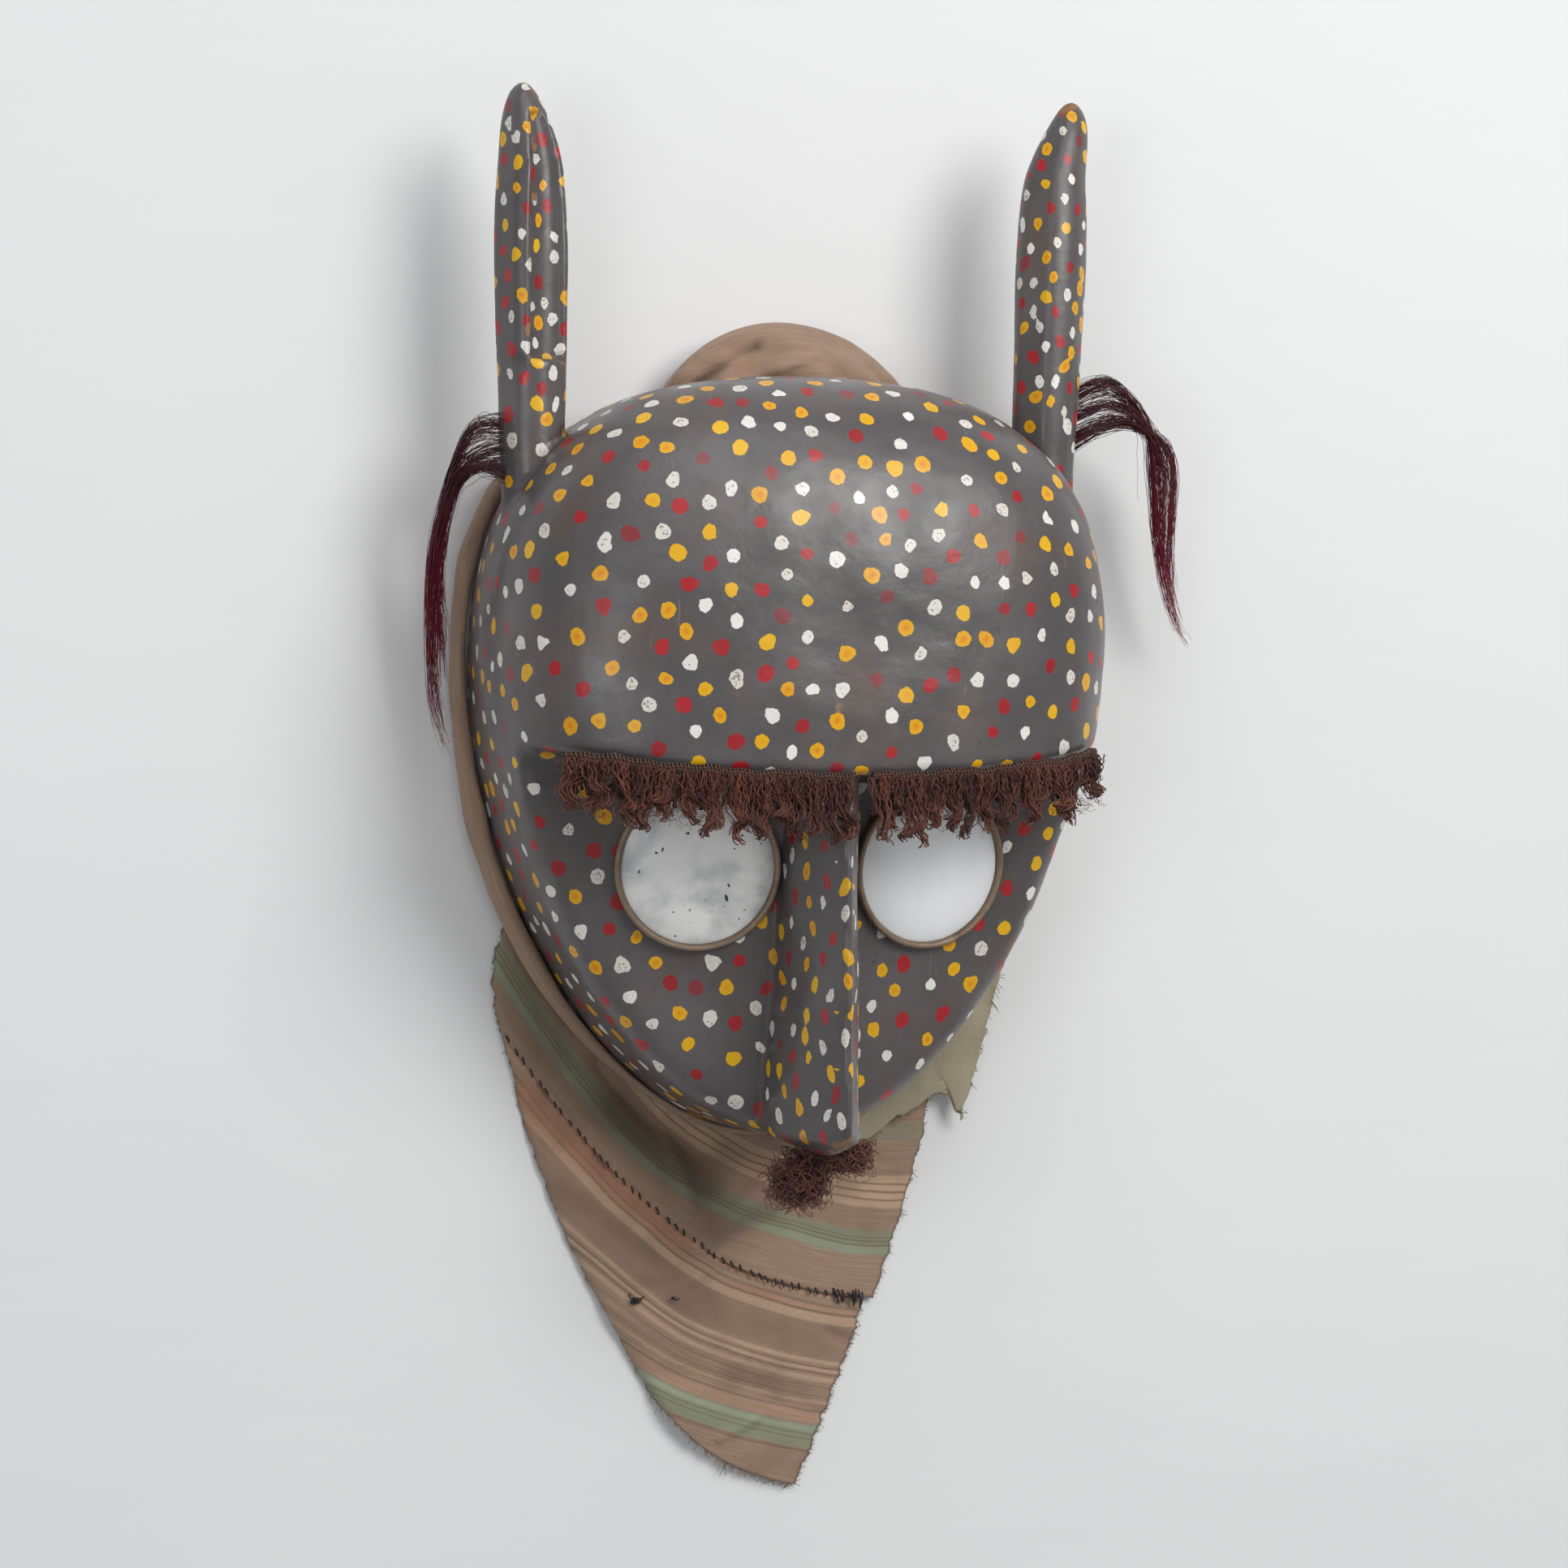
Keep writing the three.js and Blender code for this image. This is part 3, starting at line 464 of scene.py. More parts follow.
def painted_wood():
    """Grey satin paint with the dabs over it. Each dab colour is where the distance to its
    nearest dab, roughened by noise, is under one."""
    finish = Finish("painted_wood")
    dabs = finish.attribute("dabs")
    white, yellow, red = finish.split(dabs.outputs["Color"])[:3]
    tone = dabs.outputs["Alpha"]
    wear = finish.attribute("wear").outputs["Fac"]
    darkening = finish.attribute("darkening").outputs["Fac"]
    broad = finish.noise(18.0, 3.0)
    fine = finish.noise(260.0, 3.0)
    speck = finish.noise(900.0, 2.0)
    grey = finish.mix(finish.step(broad, 0.35, 0.7), srgb(84, 80, 81), srgb(97, 92, 93))
    grey = finish.mix(finish.step(fine, 0.6, 0.75, 0, 0.35), grey, srgb(108, 103, 99))
    grey = finish.mix(finish.step(fine, 0.4, 0.25, 0, 0.4), grey, srgb(70, 67, 70))
    smudge = finish.step(finish.noise(26.0, 4.0), 0.5, 0.72, 0.0, 0.42)
    grey = finish.mix(smudge, grey, srgb(98, 78, 64))
    scratch = finish.step(finish.noise(60.0, 2.0, finish.stretch((9.0, 0.6, 1.0))), 0.7, 0.78, 0.0, 0.35)
    grey = finish.mix(scratch, grey, srgb(136, 128, 122))
    ragged = finish.math("MULTIPLY_ADD", finish.noise(420.0, 3.0), 0.34, -0.17)
    colour = grey
    red_share = finish.step(finish.math("ADD", red, ragged), 1.03, 0.95)
    red_paint = finish.mix(tone, srgb(142, 22, 32), srgb(172, 32, 38))
    red_share = finish.math("MULTIPLY", red_share, finish.step(tone, 0.0, 0.35, 0.62, 1.0))
    colour = finish.mix(red_share, colour, red_paint)
    yellow_share = finish.step(finish.math("ADD", yellow, ragged), 1.03, 0.95)
    heart = finish.math("MULTIPLY", finish.step(yellow, 0.7, 0.1), finish.step(tone, 0.75, 0.35, 0.0, 0.8))
    yellow_paint = finish.mix(heart, finish.mix(tone, srgb(222, 158, 4), srgb(228, 178, 10)), srgb(216, 124, 6))
    colour = finish.mix(yellow_share, colour, yellow_paint)
    ring = finish.math("ABSOLUTE", finish.math("SUBTRACT", white, 0.42))
    thin = finish.math("ADD", speck, finish.math("MULTIPLY_ADD", ring, -0.3, finish.math("MULTIPLY", tone, -0.12)))
    bare = finish.step(thin, 0.5, 0.56, 1.0, 0.3)
    white_share = finish.math("MULTIPLY", finish.step(finish.math("ADD", white, ragged), 1.03, 0.95), bare)
    white_paint = finish.mix(tone, srgb(212, 207, 196), srgb(232, 230, 224))
    colour = finish.mix(white_share, colour, white_paint)
    # Brown dirt and painted shade in the creases, where the head's darkening attribute is high.
    dirt_and_shade = finish.math("MULTIPLY", darkening, finish.step(finish.noise(90.0, 4.0), 0.3, 0.6, 0.35, 1.0))
    colour = finish.mix(dirt_and_shade, colour, srgb(66, 46, 34))
    worn = finish.math("ADD", wear, finish.math("MULTIPLY_ADD", finish.noise(150.0, 4.0), 0.9, -0.45))
    worn_share = finish.step(worn, 0.5, 0.62)
    wood = finish.mix(finish.noise(70.0, 4.0, finish.stretch((1, 0.12, 1))), srgb(112, 78, 52), srgb(164, 124, 92))
    colour = finish.mix(worn_share, colour, wood)
    finish.set(Base_Color=colour)
    shine = finish.step(finish.noise(55.0, 4.0), 0.3, 0.75, 0.27, 0.44)
    finish.set(Roughness=finish.mix(worn_share, shine, (0.72, 0.72, 0.72, 1)))
    relief = finish.math("MULTIPLY_ADD", finish.noise(60.0, 5.0), 1.0, finish.math("MULTIPLY", finish.noise(240.0, 3.0), 0.18))
    finish.bump(relief, 0.0008, 0.4)
    return finish.material


points, faces = surface_net(head_distance, (-134, -216, -2), (136, 226, 134), 2.05)
head = make_piece("painted_head", points, faces, painted_wood())
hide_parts("carved_head")

# The dabs
# Round to oval dabs of a flat brush, set apart by eye over the whole front and the ears, closer
# and smaller on the ears. They are thin paint on the wood and stand out by their colour only.

DAB_SPACING = 10.5
EAR_DAB_SPACING = 6.8
rng = np.random.default_rng(7)
normals = np.zeros(len(points) * 3, np.float32)
head.data.vertices.foreach_get("normal", normals)
normals = normals.reshape(-1, 3).astype(float)
hollow_distance = core(*points.T, float(WALL))
outer = (hollow_distance > 5) & (points[:, 2] > 1.5) & (normals[:, 2] > -0.75)
on_ear = (points[:, 1] > 88) & (np.abs(points[:, 0]) > 80) & (points[:, 2] < 74)
candidates = np.flatnonzero(outer)
order = rng.permutation(candidates)
free = outer.copy()
dabs = []
for index in order:
    if free[index]:
        dabs.append(index)
        apart = (EAR_DAB_SPACING if on_ear[index] else DAB_SPACING) * rng.uniform(0.9, 1.12)
        if abs(points[index, 0]) < 22 and points[index, 1] < -66:
            apart *= 0.8
        away = points[candidates] - points[index]
        free[candidates[(away**2).sum(1) < apart**2]] = False
centres = points[dabs]
paints = np.full(len(dabs), -1)
for i in range(len(dabs)):
    near = ((centres - centres[i]) ** 2).sum(1) < (20 if not on_ear[dabs[i]] else 12) ** 2
    crowd = [np.sum(paints[near] == colour) for colour in range(3)]
    score = np.array(crowd) + rng.uniform(0, 1.6, 3) + np.array([-0.1, -0.1, 0.35])
    paints[i] = int(np.argmin(score))
reach = np.full((len(points), 4), 3.0)
nearest = np.full(len(points), 9.0)
for i, index in enumerate(dabs):
    small = on_ear[index]
    wide, tall = (2.3, 3.1) if small else (3.2, 3.3)
    if abs(points[index, 0]) < 22 and points[index, 1] < -66:
        wide, tall = 2.2, 3.7
    size = rng.uniform(0.8, 1.12) * (0.92 if paints[i] == 0 else 1.0)
    rough = 1.2 if paints[i] == 0 else 0.9
    box = np.all(np.abs(points - points[index]) < 9, axis=1)
    away = points[box] - points[index]
    normal = normals[index]
    up = np.array([0, 1.0, 0]) - normal * normal[1]
    up /= max(np.linalg.norm(up), 1e-6)
    across = np.cross(up, normal)
    tilt = rng.normal(0, 0.35)
    u = away @ (across * math.cos(tilt) + up * math.sin(tilt)) / (wide * size * rng.uniform(0.92, 1.08))
    v = away @ (up * math.cos(tilt) - across * math.sin(tilt)) / (tall * size * rng.uniform(0.92, 1.08))
    turn = np.arctan2(v, u)
    edge = 1.0
    for wave, height in ((2, 0.07), (3, 0.07), (5, 0.04)):
        edge = edge + rough * rng.normal(0, height) * np.cos(wave * turn + rng.uniform(0, 6.28))
    far = np.hypot(u, v) / edge + np.abs(away @ normal) / 9
    column = paints[i]
    reach[box, column] = np.minimum(reach[box, column], far)
    closer = far < nearest[box]
    tones = reach[box, 3]
    tones[closer] = rng.uniform(0, 1)
    reach[box, 3] = tones
    nearest[box] = np.minimum(nearest[box], far)
reach[:, 3] = np.clip(reach[:, 3], 0, 1)
reach[~outer, :3] = 3.0
set_attribute(head, "dabs", reach)

# Where hands and knocks have rubbed the paint through to the wood.
RUBBED = [
    ((-4.9, -30.7, 127), 5, 0.55),
    ((-8, -27, 127), 11, 0.33),
    ((0, -208, 122), 9, 0.62),
    ((0, -214, 108), 13, 0.5),
    ((-96, -150, 60), 10, 0.6),
    ((-107, 219, 52), 6, 0.75),
    ((121, 221, 52), 6, 0.75),
    ((-109, 172, 62), 5, 0.6),
    ((-112, 150, 66), 5, 0.55),
    ((-113, 195, 58), 5, 0.62),
    ((-113, 120, 66), 4, 0.7),
    ((-118, 97, 65), 3, 0.6),
]
RUBBED += [((0.5, y, 122 - 0.02 * y), 1.6, 0.52) for y in range(-204, -120, 4)]
wear = np.zeros(len(points))
for place, radius, amount in RUBBED:
    away = np.sqrt(((points - np.array(place)) ** 2).sum(1))
    wear = np.maximum(wear, amount * np.clip(1.6 - away / radius, 0, 1))
wear[hollow_distance < 4] = 1.0
wear[points[:, 2] < 1.2] = 1.0
set_attribute(head, "wear", wear)

# Dirt and painted shade darken the paint where the wood turns inwards: a point just off the
# surface there is nearer to the wood than to the point that it left.
off = points + 4.0 * normals
darkening = np.clip((4.0 - head_distance(*off.T)) / 4.0 - 0.12, 0, 0.55) * 1.7
# In the left ear's groove the darkening is half as strong again: painted shade down the groove's steep wall.
in_groove = (np.abs(points[:, 0] + 112) < 6) & (points[:, 1] > 112) & (points[:, 1] < 205)
darkening = np.where(in_groove, np.minimum(darkening * 1.5, 1.0), darkening)
set_attribute(head, "darkening", darkening * outer)

# The eyes
# Two cheap round pocket mirrors laid on the face and held by their rims, which are thin rolled
# tin gone dull and brown. The glass on the left is clouded and specked where its silvering went.


def turned(profile, segments):
    """A profile of radius and height turned about its own axis, as points and faces. The
    profile's first and last points meet the axis or each other."""
    profile = np.asarray(profile, float)
    turn = np.arange(segments) * 2 * math.pi / segments
    points = np.stack(
        [
            profile[:, None, 0] * np.cos(turn),
            profile[:, None, 0] * np.sin(turn),
            np.broadcast_to(profile[:, None, 1], (len(profile), segments)),
        ],
        2,
    )
    rows = np.arange(len(profile) - 1)[:, None] * segments
    columns = np.arange(segments)[None, :]
    after = (columns + 1) % segments
    ring = [rows + columns, rows + after, rows + segments + after, rows + segments + columns]
    return points.reshape(-1, 3), np.stack(ring, 2).reshape(-1, 4)


def eye_points(local, side):
    """Points in an eye's own frame, set on the face plane and turned to lie flat on it."""
    x, y = side * eye_spread, -eye_drop
    out = Vector((side * FACE_SPLAY, -FACE_LEAN, 1)).normalized()
    turn = np.array(Vector((0, 0, 1)).rotation_difference(out).to_matrix())
    return local @ turn.T + np.array([x, y, face_height(x, y)])


def mirror_glass(name, tint, clouded):
    finish = Finish(name)
    colour = tint
    if clouded:
        cloud = finish.step(finish.noise(45.0, 5.0), 0.42, 0.7, 0.0, 0.75)
        colour = finish.mix(cloud, colour, srgb(158, 160, 163))
        speck = finish.step(finish.noise(420.0, 1.0), 0.735, 0.76)
        colour = finish.mix(speck, colour, srgb(70, 68, 66))
        streak = finish.step(finish.noise(150.0, 1.0, finish.stretch((1.6, 0.45, 1.0))), 0.755, 0.775)
        colour = finish.mix(streak, colour, srgb(48, 46, 45))
    # Rough near-white glass with no metal: its even brightness is a painted reflection of the bright room.
    finish.set(Base_Color=colour, Roughness=0.32, Metallic=0.0, Specular_IOR_Level=1.0)
    return finish.material


def dull_tin():
    finish = Finish("dull_tin")
    colour = finish.mix(finish.noise(120.0, 4.0), srgb(112, 92, 76), srgb(164, 144, 122))
    darkening = finish.step(finish.noise(60.0, 3.0), 0.55, 0.7, 0.0, 0.7)
    finish.set(Base_Color=finish.mix(darkening, colour, srgb(84, 68, 54)), Roughness=0.48, Metallic=0.25)
    finish.bump(finish.noise(300.0, 3.0), 0.0004, 0.5)
    return finish.material


MIRROR_RADIUS = 31.2
MIRROR_BOTTOM = 0.3
MIRROR_TOP = 2.3
FRAME_HEIGHT = 4.6
mirror_profile = [
    (0.01, MIRROR_BOTTOM),
    (MIRROR_RADIUS, MIRROR_BOTTOM),
    (MIRROR_RADIUS, MIRROR_TOP - 0.3),
    (MIRROR_RADIUS - 0.3, MIRROR_TOP),
    (15.0, MIRROR_TOP + 0.04),
    (0.01, MIRROR_TOP + 0.05),
]
turn = np.linspace(0, 1, 9) * math.pi
rolled = [(32.45 + 1.15 * math.cos(t), 3.35 + 1.15 * math.sin(t)) for t in turn]
frame_profile = [(31.6, 0.4), (33.3, 0.4), (33.5, 1.2), *rolled, (30.9, 2.7), (31.6, 2.6), (31.6, 0.4)]
# Both glasses are near-white as a painted reflection of the bright room; the left one is also clouded.
glass_finishes = {
    "left": mirror_glass("clouded_mirror", srgb(250, 250, 248), True),
    "right": mirror_glass("clear_mirror", srgb(250, 253, 255), False),
}
tin = dull_tin()
for side, name in ((-1, "left"), (1, "right")):
    local, faces = turned(mirror_profile, 96)
    glass = make_piece("glass_" + name, eye_points(local, side), faces, glass_finishes[name])
    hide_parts("mirror_" + name)
    local, faces = turned(frame_profile, 96)
    around = np.arctan2(local[:, 1], local[:, 0])
    local[:, 2] += 0.12 * np.sin(5 * around + side) + 0.08 * np.sin(11 * around)
    rim = make_piece("rim_" + name, eye_points(local, side), faces, tin)
    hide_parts("mirror_frame_" + name)

# The brow fringes
# Two lengths of dark brown furnishing fringe stuck along the brow: a flat braided heading with
# overcast stitches, and short tufts of curled wool yarn that hang in front of the mirrors.


def through(points, share):
    """A smooth line through given points, at shares of its length: a Catmull-Rom spline, whose
    slope at each point is half the step between its neighbours."""
    points = np.asarray(points, float)
    padded = np.concatenate([2 * points[:1] - points[1:2], points, 2 * points[-1:] - points[-2:-1]])
    place = np.clip(np.asarray(share, float) * (len(points) - 1), 0, len(points) - 1 - 1e-9)
    index = place.astype(int)
    t = (place - index)[..., None]
    a, b, c, d = (padded[index + k] for k in range(4))
    return 0.5 * (2 * b + (c - a) * t + (2 * a - 5 * b + 4 * c - d) * t**2 + (3 * b - a - 3 * c + d) * t**3)


def unit(vectors):
    return vectors / np.maximum(np.linalg.norm(vectors, axis=-1, keepdims=True), 1e-9)


def strands(paths, radii, sides=4):
    """Round strands along paths, an array of strands by points by three, with a radius for each
    point. The ring at each point lies across the path, carried on from the one before it."""
    paths = np.asarray(paths, float)
    count, steps = paths.shape[:2]
    radii = np.broadcast_to(radii, (count, steps))
    along = unit(np.gradient(paths, axis=1))
    beside = np.zeros_like(paths)
    beside[:, 0] = unit(np.cross(along[:, 0], [0.31, 0.57, 0.76]))
    for k in range(1, steps):
        slip = (beside[:, k - 1] * along[:, k]).sum(1, keepdims=True)
        beside[:, k] = unit(beside[:, k - 1] - slip * along[:, k])
    across = np.cross(along, beside)
    turn = (np.arange(sides) * 2 * math.pi / sides)[:, None]
    ring = np.cos(turn) * beside[:, :, None] + np.sin(turn) * across[:, :, None]
    points = paths[:, :, None] + radii[:, :, None, None] * ring
    strand = np.arange(count)[:, None, None] * steps * sides
    rows = strand + np.arange(steps - 1)[None, :, None] * sides
    columns = np.arange(sides)[None, None, :]
    after = (columns + 1) % sides
    quads = [rows + columns, rows + after, rows + sides + after, rows + sides + columns]
    return points.reshape(-1, 3), np.stack(quads, 3).reshape(-1, 4)


def strand_marks(count, steps, sides, tones):
    """For each vertex of such strands: the strand's own tone and the share of its length."""
    marks = np.zeros((count, steps, sides, 4))
    marks[..., 0] = np.asarray(tones)[:, None, None]
    marks[..., 1] = np.linspace(0, 1, steps)[None, :, None]
    return marks.reshape(-1, 4)


def fibre(name, dark, light, tip, roughness=0.75, sheen=0.3):
    """Wool, hair or thread: its tone from the strand, passing to another colour at the tip."""
    finish = Finish(name)
    marks = finish.split(finish.attribute("strand").outputs["Color"])
    tone = finish.math("MULTIPLY_ADD", finish.noise(350.0, 2.0), 0.5, finish.math("MULTIPLY", marks[0], 0.75))
    colour = finish.mix(finish.step(tone, 0.2, 0.9), dark, light)
    colour = finish.mix(finish.step(marks[1], 0.35, 1.0), colour, finish.mix(tone, dark, tip))
    finish.set(Base_Color=colour, Roughness=roughness, Sheen_Weight=sheen, Sheen_Roughness=0.5)
    return finish.material


brown_wool = fibre("brown_wool", srgb(44, 20, 15), srgb(112, 60, 46), srgb(122, 68, 52), 0.8, 0.1)
beard_wool = fibre("beard_wool", srgb(60, 30, 24), srgb(134, 84, 70), srgb(150, 98, 84), 0.8, 0.1)
heading_wool = fibre("heading_wool", srgb(26, 14, 12), srgb(116, 78, 62), srgb(62, 34, 27), 0.8, 0.1)
FRINGES = [("left", -108.5, 1.0), ("right", 8.0, 113.5)]


def brow_points(x, drop, off):
    """Points that hang a drop below the heading's top edge, off the forehead's surface."""
    top = brow_line(x) + 1.0 + 0.5 * np.sin(x * 0.19) + 0.35 * np.sin(x * 0.53)
    level = forehead_height(x, brow_line(x) + 1)
    slope = forehead_height(x + 0.5, brow_line(x) + 1) - forehead_height(x - 0.5, brow_line(x) + 1)
    out = unit(np.stack([-slope, np.zeros_like(slope), np.ones_like(slope)], -1))
    return np.stack([x, top - drop, level], -1) + out * np.asarray(off)[..., None]


def crimp(rng, count, steps, coarse, fine):
    """A random curl for each of many strands, along three directions: a slow wave and a fine one,
    with their own lengths and phases."""
    share = np.linspace(0, 1, steps)[None, :, None]
    total = np.zeros((count, steps, 3))
    for turns, height in ((rng.uniform(0.6, 1.8, (count, 1, 3)), coarse), (rng.uniform(3, 6, (count, 1, 3)), fine)):
        phase = rng.uniform(0, 6.28, (count, 1, 3))
        total += height * np.sin(2 * math.pi * turns * share + phase)
    return total


for name, start, end in FRINGES:
    rng = np.random.default_rng(11 if name == "left" else 12)
    steps = 36
    share = np.linspace(0, 1, steps)
    tufts = int((end - start) / 4.7)
    hairs = 25
    paths = []
    tones = []
    for i in range(tufts):
        x = lerp(start + 2.2, end - 1.8, (i + 0.5 + rng.uniform(-0.55, 0.55)) / tufts)
        if name == "left" and abs(x + 43) < 2.2:
            continue
        outer = smoothstep(end - x, 0.0, 22.0) if name == "right" else 1.0
        long = (18.0 + 7.5 * outer) * rng.uniform(0.72, 1.12)
        swing = rng.normal(0, 2.8) - (7 * math.exp(-(x - start) / 7) if name == "left" else 0)
        knee = rng.uniform(0.2, 0.5)
        loose = smoothstep(share, knee, knee + 0.35)
        turns = rng.choice([-1, 1]) * rng.uniform(0.9, 1.7)
        turn = rng.uniform(0, 6.28) + 2 * math.pi * turns * np.maximum(share - knee, 0) / (1 - knee)
        reach = lerp(0.3, rng.uniform(1.2, 2.5), loose) * (1 - 0.35 * smoothstep(share, 0.9, 1.0))
        middle_x = x + swing * share**1.6 + reach * np.cos(turn)
        middle_fall = 2.2 + long * share + 0.5 * reach * np.sin(turn) - 1.6 * smoothstep(share, 0.88, 1.0)
        middle_off = 4.3 + 0.8 * np.sin(math.pi * share) + reach * np.sin(turn)
        tone = rng.uniform(0, 0.5)
        curl = crimp(rng, hairs, steps, 0.75, 0.36)
        for k in range(hairs):
            spread = rng.normal(0, 1.0, 2)
            width = lerp(1.9, 1.0, smoothstep(share, 0.1, 0.7))
            cut = rng.uniform(0.74, 1.0)
            along = share * cut
            xs = np.interp(along, share, middle_x) + spread[0] * width + curl[k, :, 0]
            falls = np.interp(along, share, middle_fall) + curl[k, :, 1] * share
            off = np.interp(along, share, middle_off) + spread[1] * width * 0.8 + curl[k, :, 2]
            paths.append(brow_points(xs, falls, np.maximum(off, 0.8)))
            tones.append(tone + rng.uniform(0, 0.4))
    points, faces = strands(np.array(paths), 0.29, 3)
    wool = make_piece("fringe_" + name, points, faces, brown_wool)
    set_attribute(wool, "strand", strand_marks(len(paths), steps, 3, tones))
    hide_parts("brow_fringe_" + name)

    under = []
    steps = 16
    share = np.linspace(0, 1, steps)
    for x in np.arange(start + 1, end - 1, 1.5):
        if name == "left" and abs(x + 43) < 0.8:
            continue
        long = (14.0 if name == "left" else lerp(9.5, 13.0, smoothstep(end - x, 0.0, 22.0))) * rng.uniform(0.82, 1.12)
        sway = 0.6 * np.sin(share * 7 + rng.uniform(0, 6.28))
        under.append(brow_points(x + sway, 2.5 + long * share, 2.0 + 0.5 * np.sin(share * 9 + x)))
    points, faces = strands(np.array(under), 0.85, 6)
    backing = make_piece("fringe_under_" + name, points, faces, heading_wool)
    set_attribute(backing, "strand", strand_marks(len(under), steps, 6, rng.uniform(0, 0.5, len(under))))

    count = 900
    steps = 9
    x = rng.uniform(start, end, count)
    down = rng.uniform(2, 24, count)
    roots = brow_points(x, down, rng.uniform(2.0, 6.0, count))
    way = unit(rng.normal(size=(count, 3)) * [1, 0.9, 0.6])
    t = np.linspace(0, 1, steps)[None, :, None]
    reach = rng.uniform(1.4, 4.2, (count, 1, 1))
    fuzz = roots[:, None] + reach * way[:, None] * t + crimp(rng, count, steps, 0.9, 0.25) * t
    points, faces = strands(fuzz, 0.085, 3)
    wisps = make_piece("fringe_fuzz_" + name, points, faces, brown_wool)
    set_attribute(wisps, "strand", strand_marks(count, steps, 3, rng.uniform(0.1, 1, count)))

    count = int((end - start) / 0.7)
    x = np.linspace(start, end, count)
    cords = []
    for drop, off in ((0.3, 2.2), (1.3, 2.9), (2.4, 3.0)):
        wobble = 0.16 * np.sin(x * 2.4 + drop * 3)
        cords.append(brow_points(x, drop + wobble, off + 0.15 * np.cos(x * 2.4 + drop)))
    points, faces = strands(np.array(cords), 0.6, 6)
    marks = strand_marks(3, count, 6, [0.0, 0.3, 0.2])
    marks[:, 1] = 0
    t = np.linspace(0, 1, 9)
    loops = []
    for at in np.arange(start + 1, end - 1, 1.45):
        xs = at + 0.5 * t + rng.normal(0, 0.1)
        loops.append(brow_points(xs, -0.1 + 2.4 * t, 3.0 + 0.65 * np.sin(math.pi * t)))
    more, more_faces = strands(np.array(loops), 0.26, 4)
    loop_marks = strand_marks(len(loops), 9, 4, rng.uniform(0.6, 1.3, len(loops)))
    loop_marks[:, 1] = 0
    heading = make_piece(
        "heading_" + name,
        np.concatenate([points, more]),
        np.concatenate([faces, more_faces + len(points)]),
        heading_wool,
    )
    set_attribute(heading, "strand", np.concatenate([marks, loop_marks]))

# The beard
# A wad of the same brown yarn, teased out and stuck under the end of the nose.

rng = np.random.default_rng(21)
steps = 34
count = 500
share = np.linspace(0, 1, steps)[None, :, None]
part = (np.arange(count) % 7)[:, None]
middle = np.where(part < 5, [-7.6, -221.0, 85.0], np.where(part < 6, [14.5, -213.0, 86.0], [4.0, -213.0, 87.0]))
size = np.where(part < 5, [13.5, 12.0, 9.5], np.where(part < 6, [9.5, 6.5, 6.5], [15.0, 5.0, 6.0]))
start = middle + size * rng.normal(size=(count, 3)) * 0.35 + [2.0, 2.0, 0.0]
end = middle + unit(rng.normal(size=(count, 3))) * size * rng.uniform(0.4, 1.15, (count, 1))
paths = start[:, None] + (end - start)[:, None] * share + crimp(rng, count, steps, 3.0, 1.5)
points, faces = strands(paths, 0.24 * (1 - 0.4 * share[:, :, 0]), 3)
beard = make_piece("yarn_beard", points, faces, beard_wool)
set_attribute(beard, "strand", strand_marks(count, steps, 3, rng.uniform(0, 0.8, count)))
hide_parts("beard")

# The hair tufts
# A hank of dyed animal hair knotted in a hole at each ear's root. It springs up and out, falls
# over in thin locks, and goes from near black at the root to crimson at the tips.

dyed_hair = fibre("dyed_hair", srgb(34, 14, 20), srgb(84, 28, 40), srgb(158, 26, 62), 0.42, 0.0)
# Three guide hairs for each tuft, from the ear outwards: the upper, the middle and the lower.
TUFTS = {
    "left": [
        [
            (-118, 84, 52), (-128, 84, 53), (-134, 82, 53), (-137, 77, 50), (-140, 67, 46), (-142, 57, 42),
            (-145, 42, 38), (-147, 28, 35), (-147, 12, 31), (-146, -9, 28), (-144, -27, 25), (-140, -40, 23),
            (-135, -51, 20),
        ],
        [
            (-117, 73, 52), (-127, 71, 53), (-134, 68, 53), (-139, 63, 50), (-141, 56, 46), (-143, 46, 42),
            (-144, 38, 38), (-145, 28, 35), (-144, 16, 31), (-143, 0, 28), (-142, -15, 25), (-140, -28, 23),
            (-137, -40, 20),
        ],
        [
            (-117, 60, 52), (-126, 64, 53), (-131, 65, 53), (-136, 62, 50), (-139, 57, 46), (-141, 49, 42),
            (-142, 41, 38), (-142, 33, 35), (-142, 24, 31), (-141, 13, 28), (-139, 4, 25), (-138, -4, 23),
            (-138, -12, 20),
        ],
    ],
    "right": [
        [
            (125, 103, 52), (133, 107, 55), (139, 107, 55), (146, 102, 54), (154, 95, 50), (160, 86, 46),
            (162, 75, 42), (164, 64, 39), (166, 50, 36), (169, 38, 33), (173, 22, 30), (180, 6, 27),
            (188, -4, 24),
        ],
        [
            (124, 92, 52), (134, 96, 55), (141, 97, 55), (149, 94, 54), (156, 88, 50), (163, 81, 46),
            (167, 72, 42), (169, 60, 39), (170, 49, 36), (172, 37, 33), (176, 24, 30), (180, 11, 27),
            (185, 0, 24),
        ],
        [
            (122, 78, 52), (132, 84, 55), (139, 87, 55), (147, 88, 54), (155, 87, 50), (164, 85, 46),
            (171, 81, 42), (175, 73, 39), (176, 59, 36), (176, 45, 33), (176, 33, 30), (178, 21, 27),
            (183, 7, 24),
        ],
    ],
}
LOCKS = [0.0, 0.09, 0.2, 0.44, 0.54, 0.8, 0.9, 1.0]
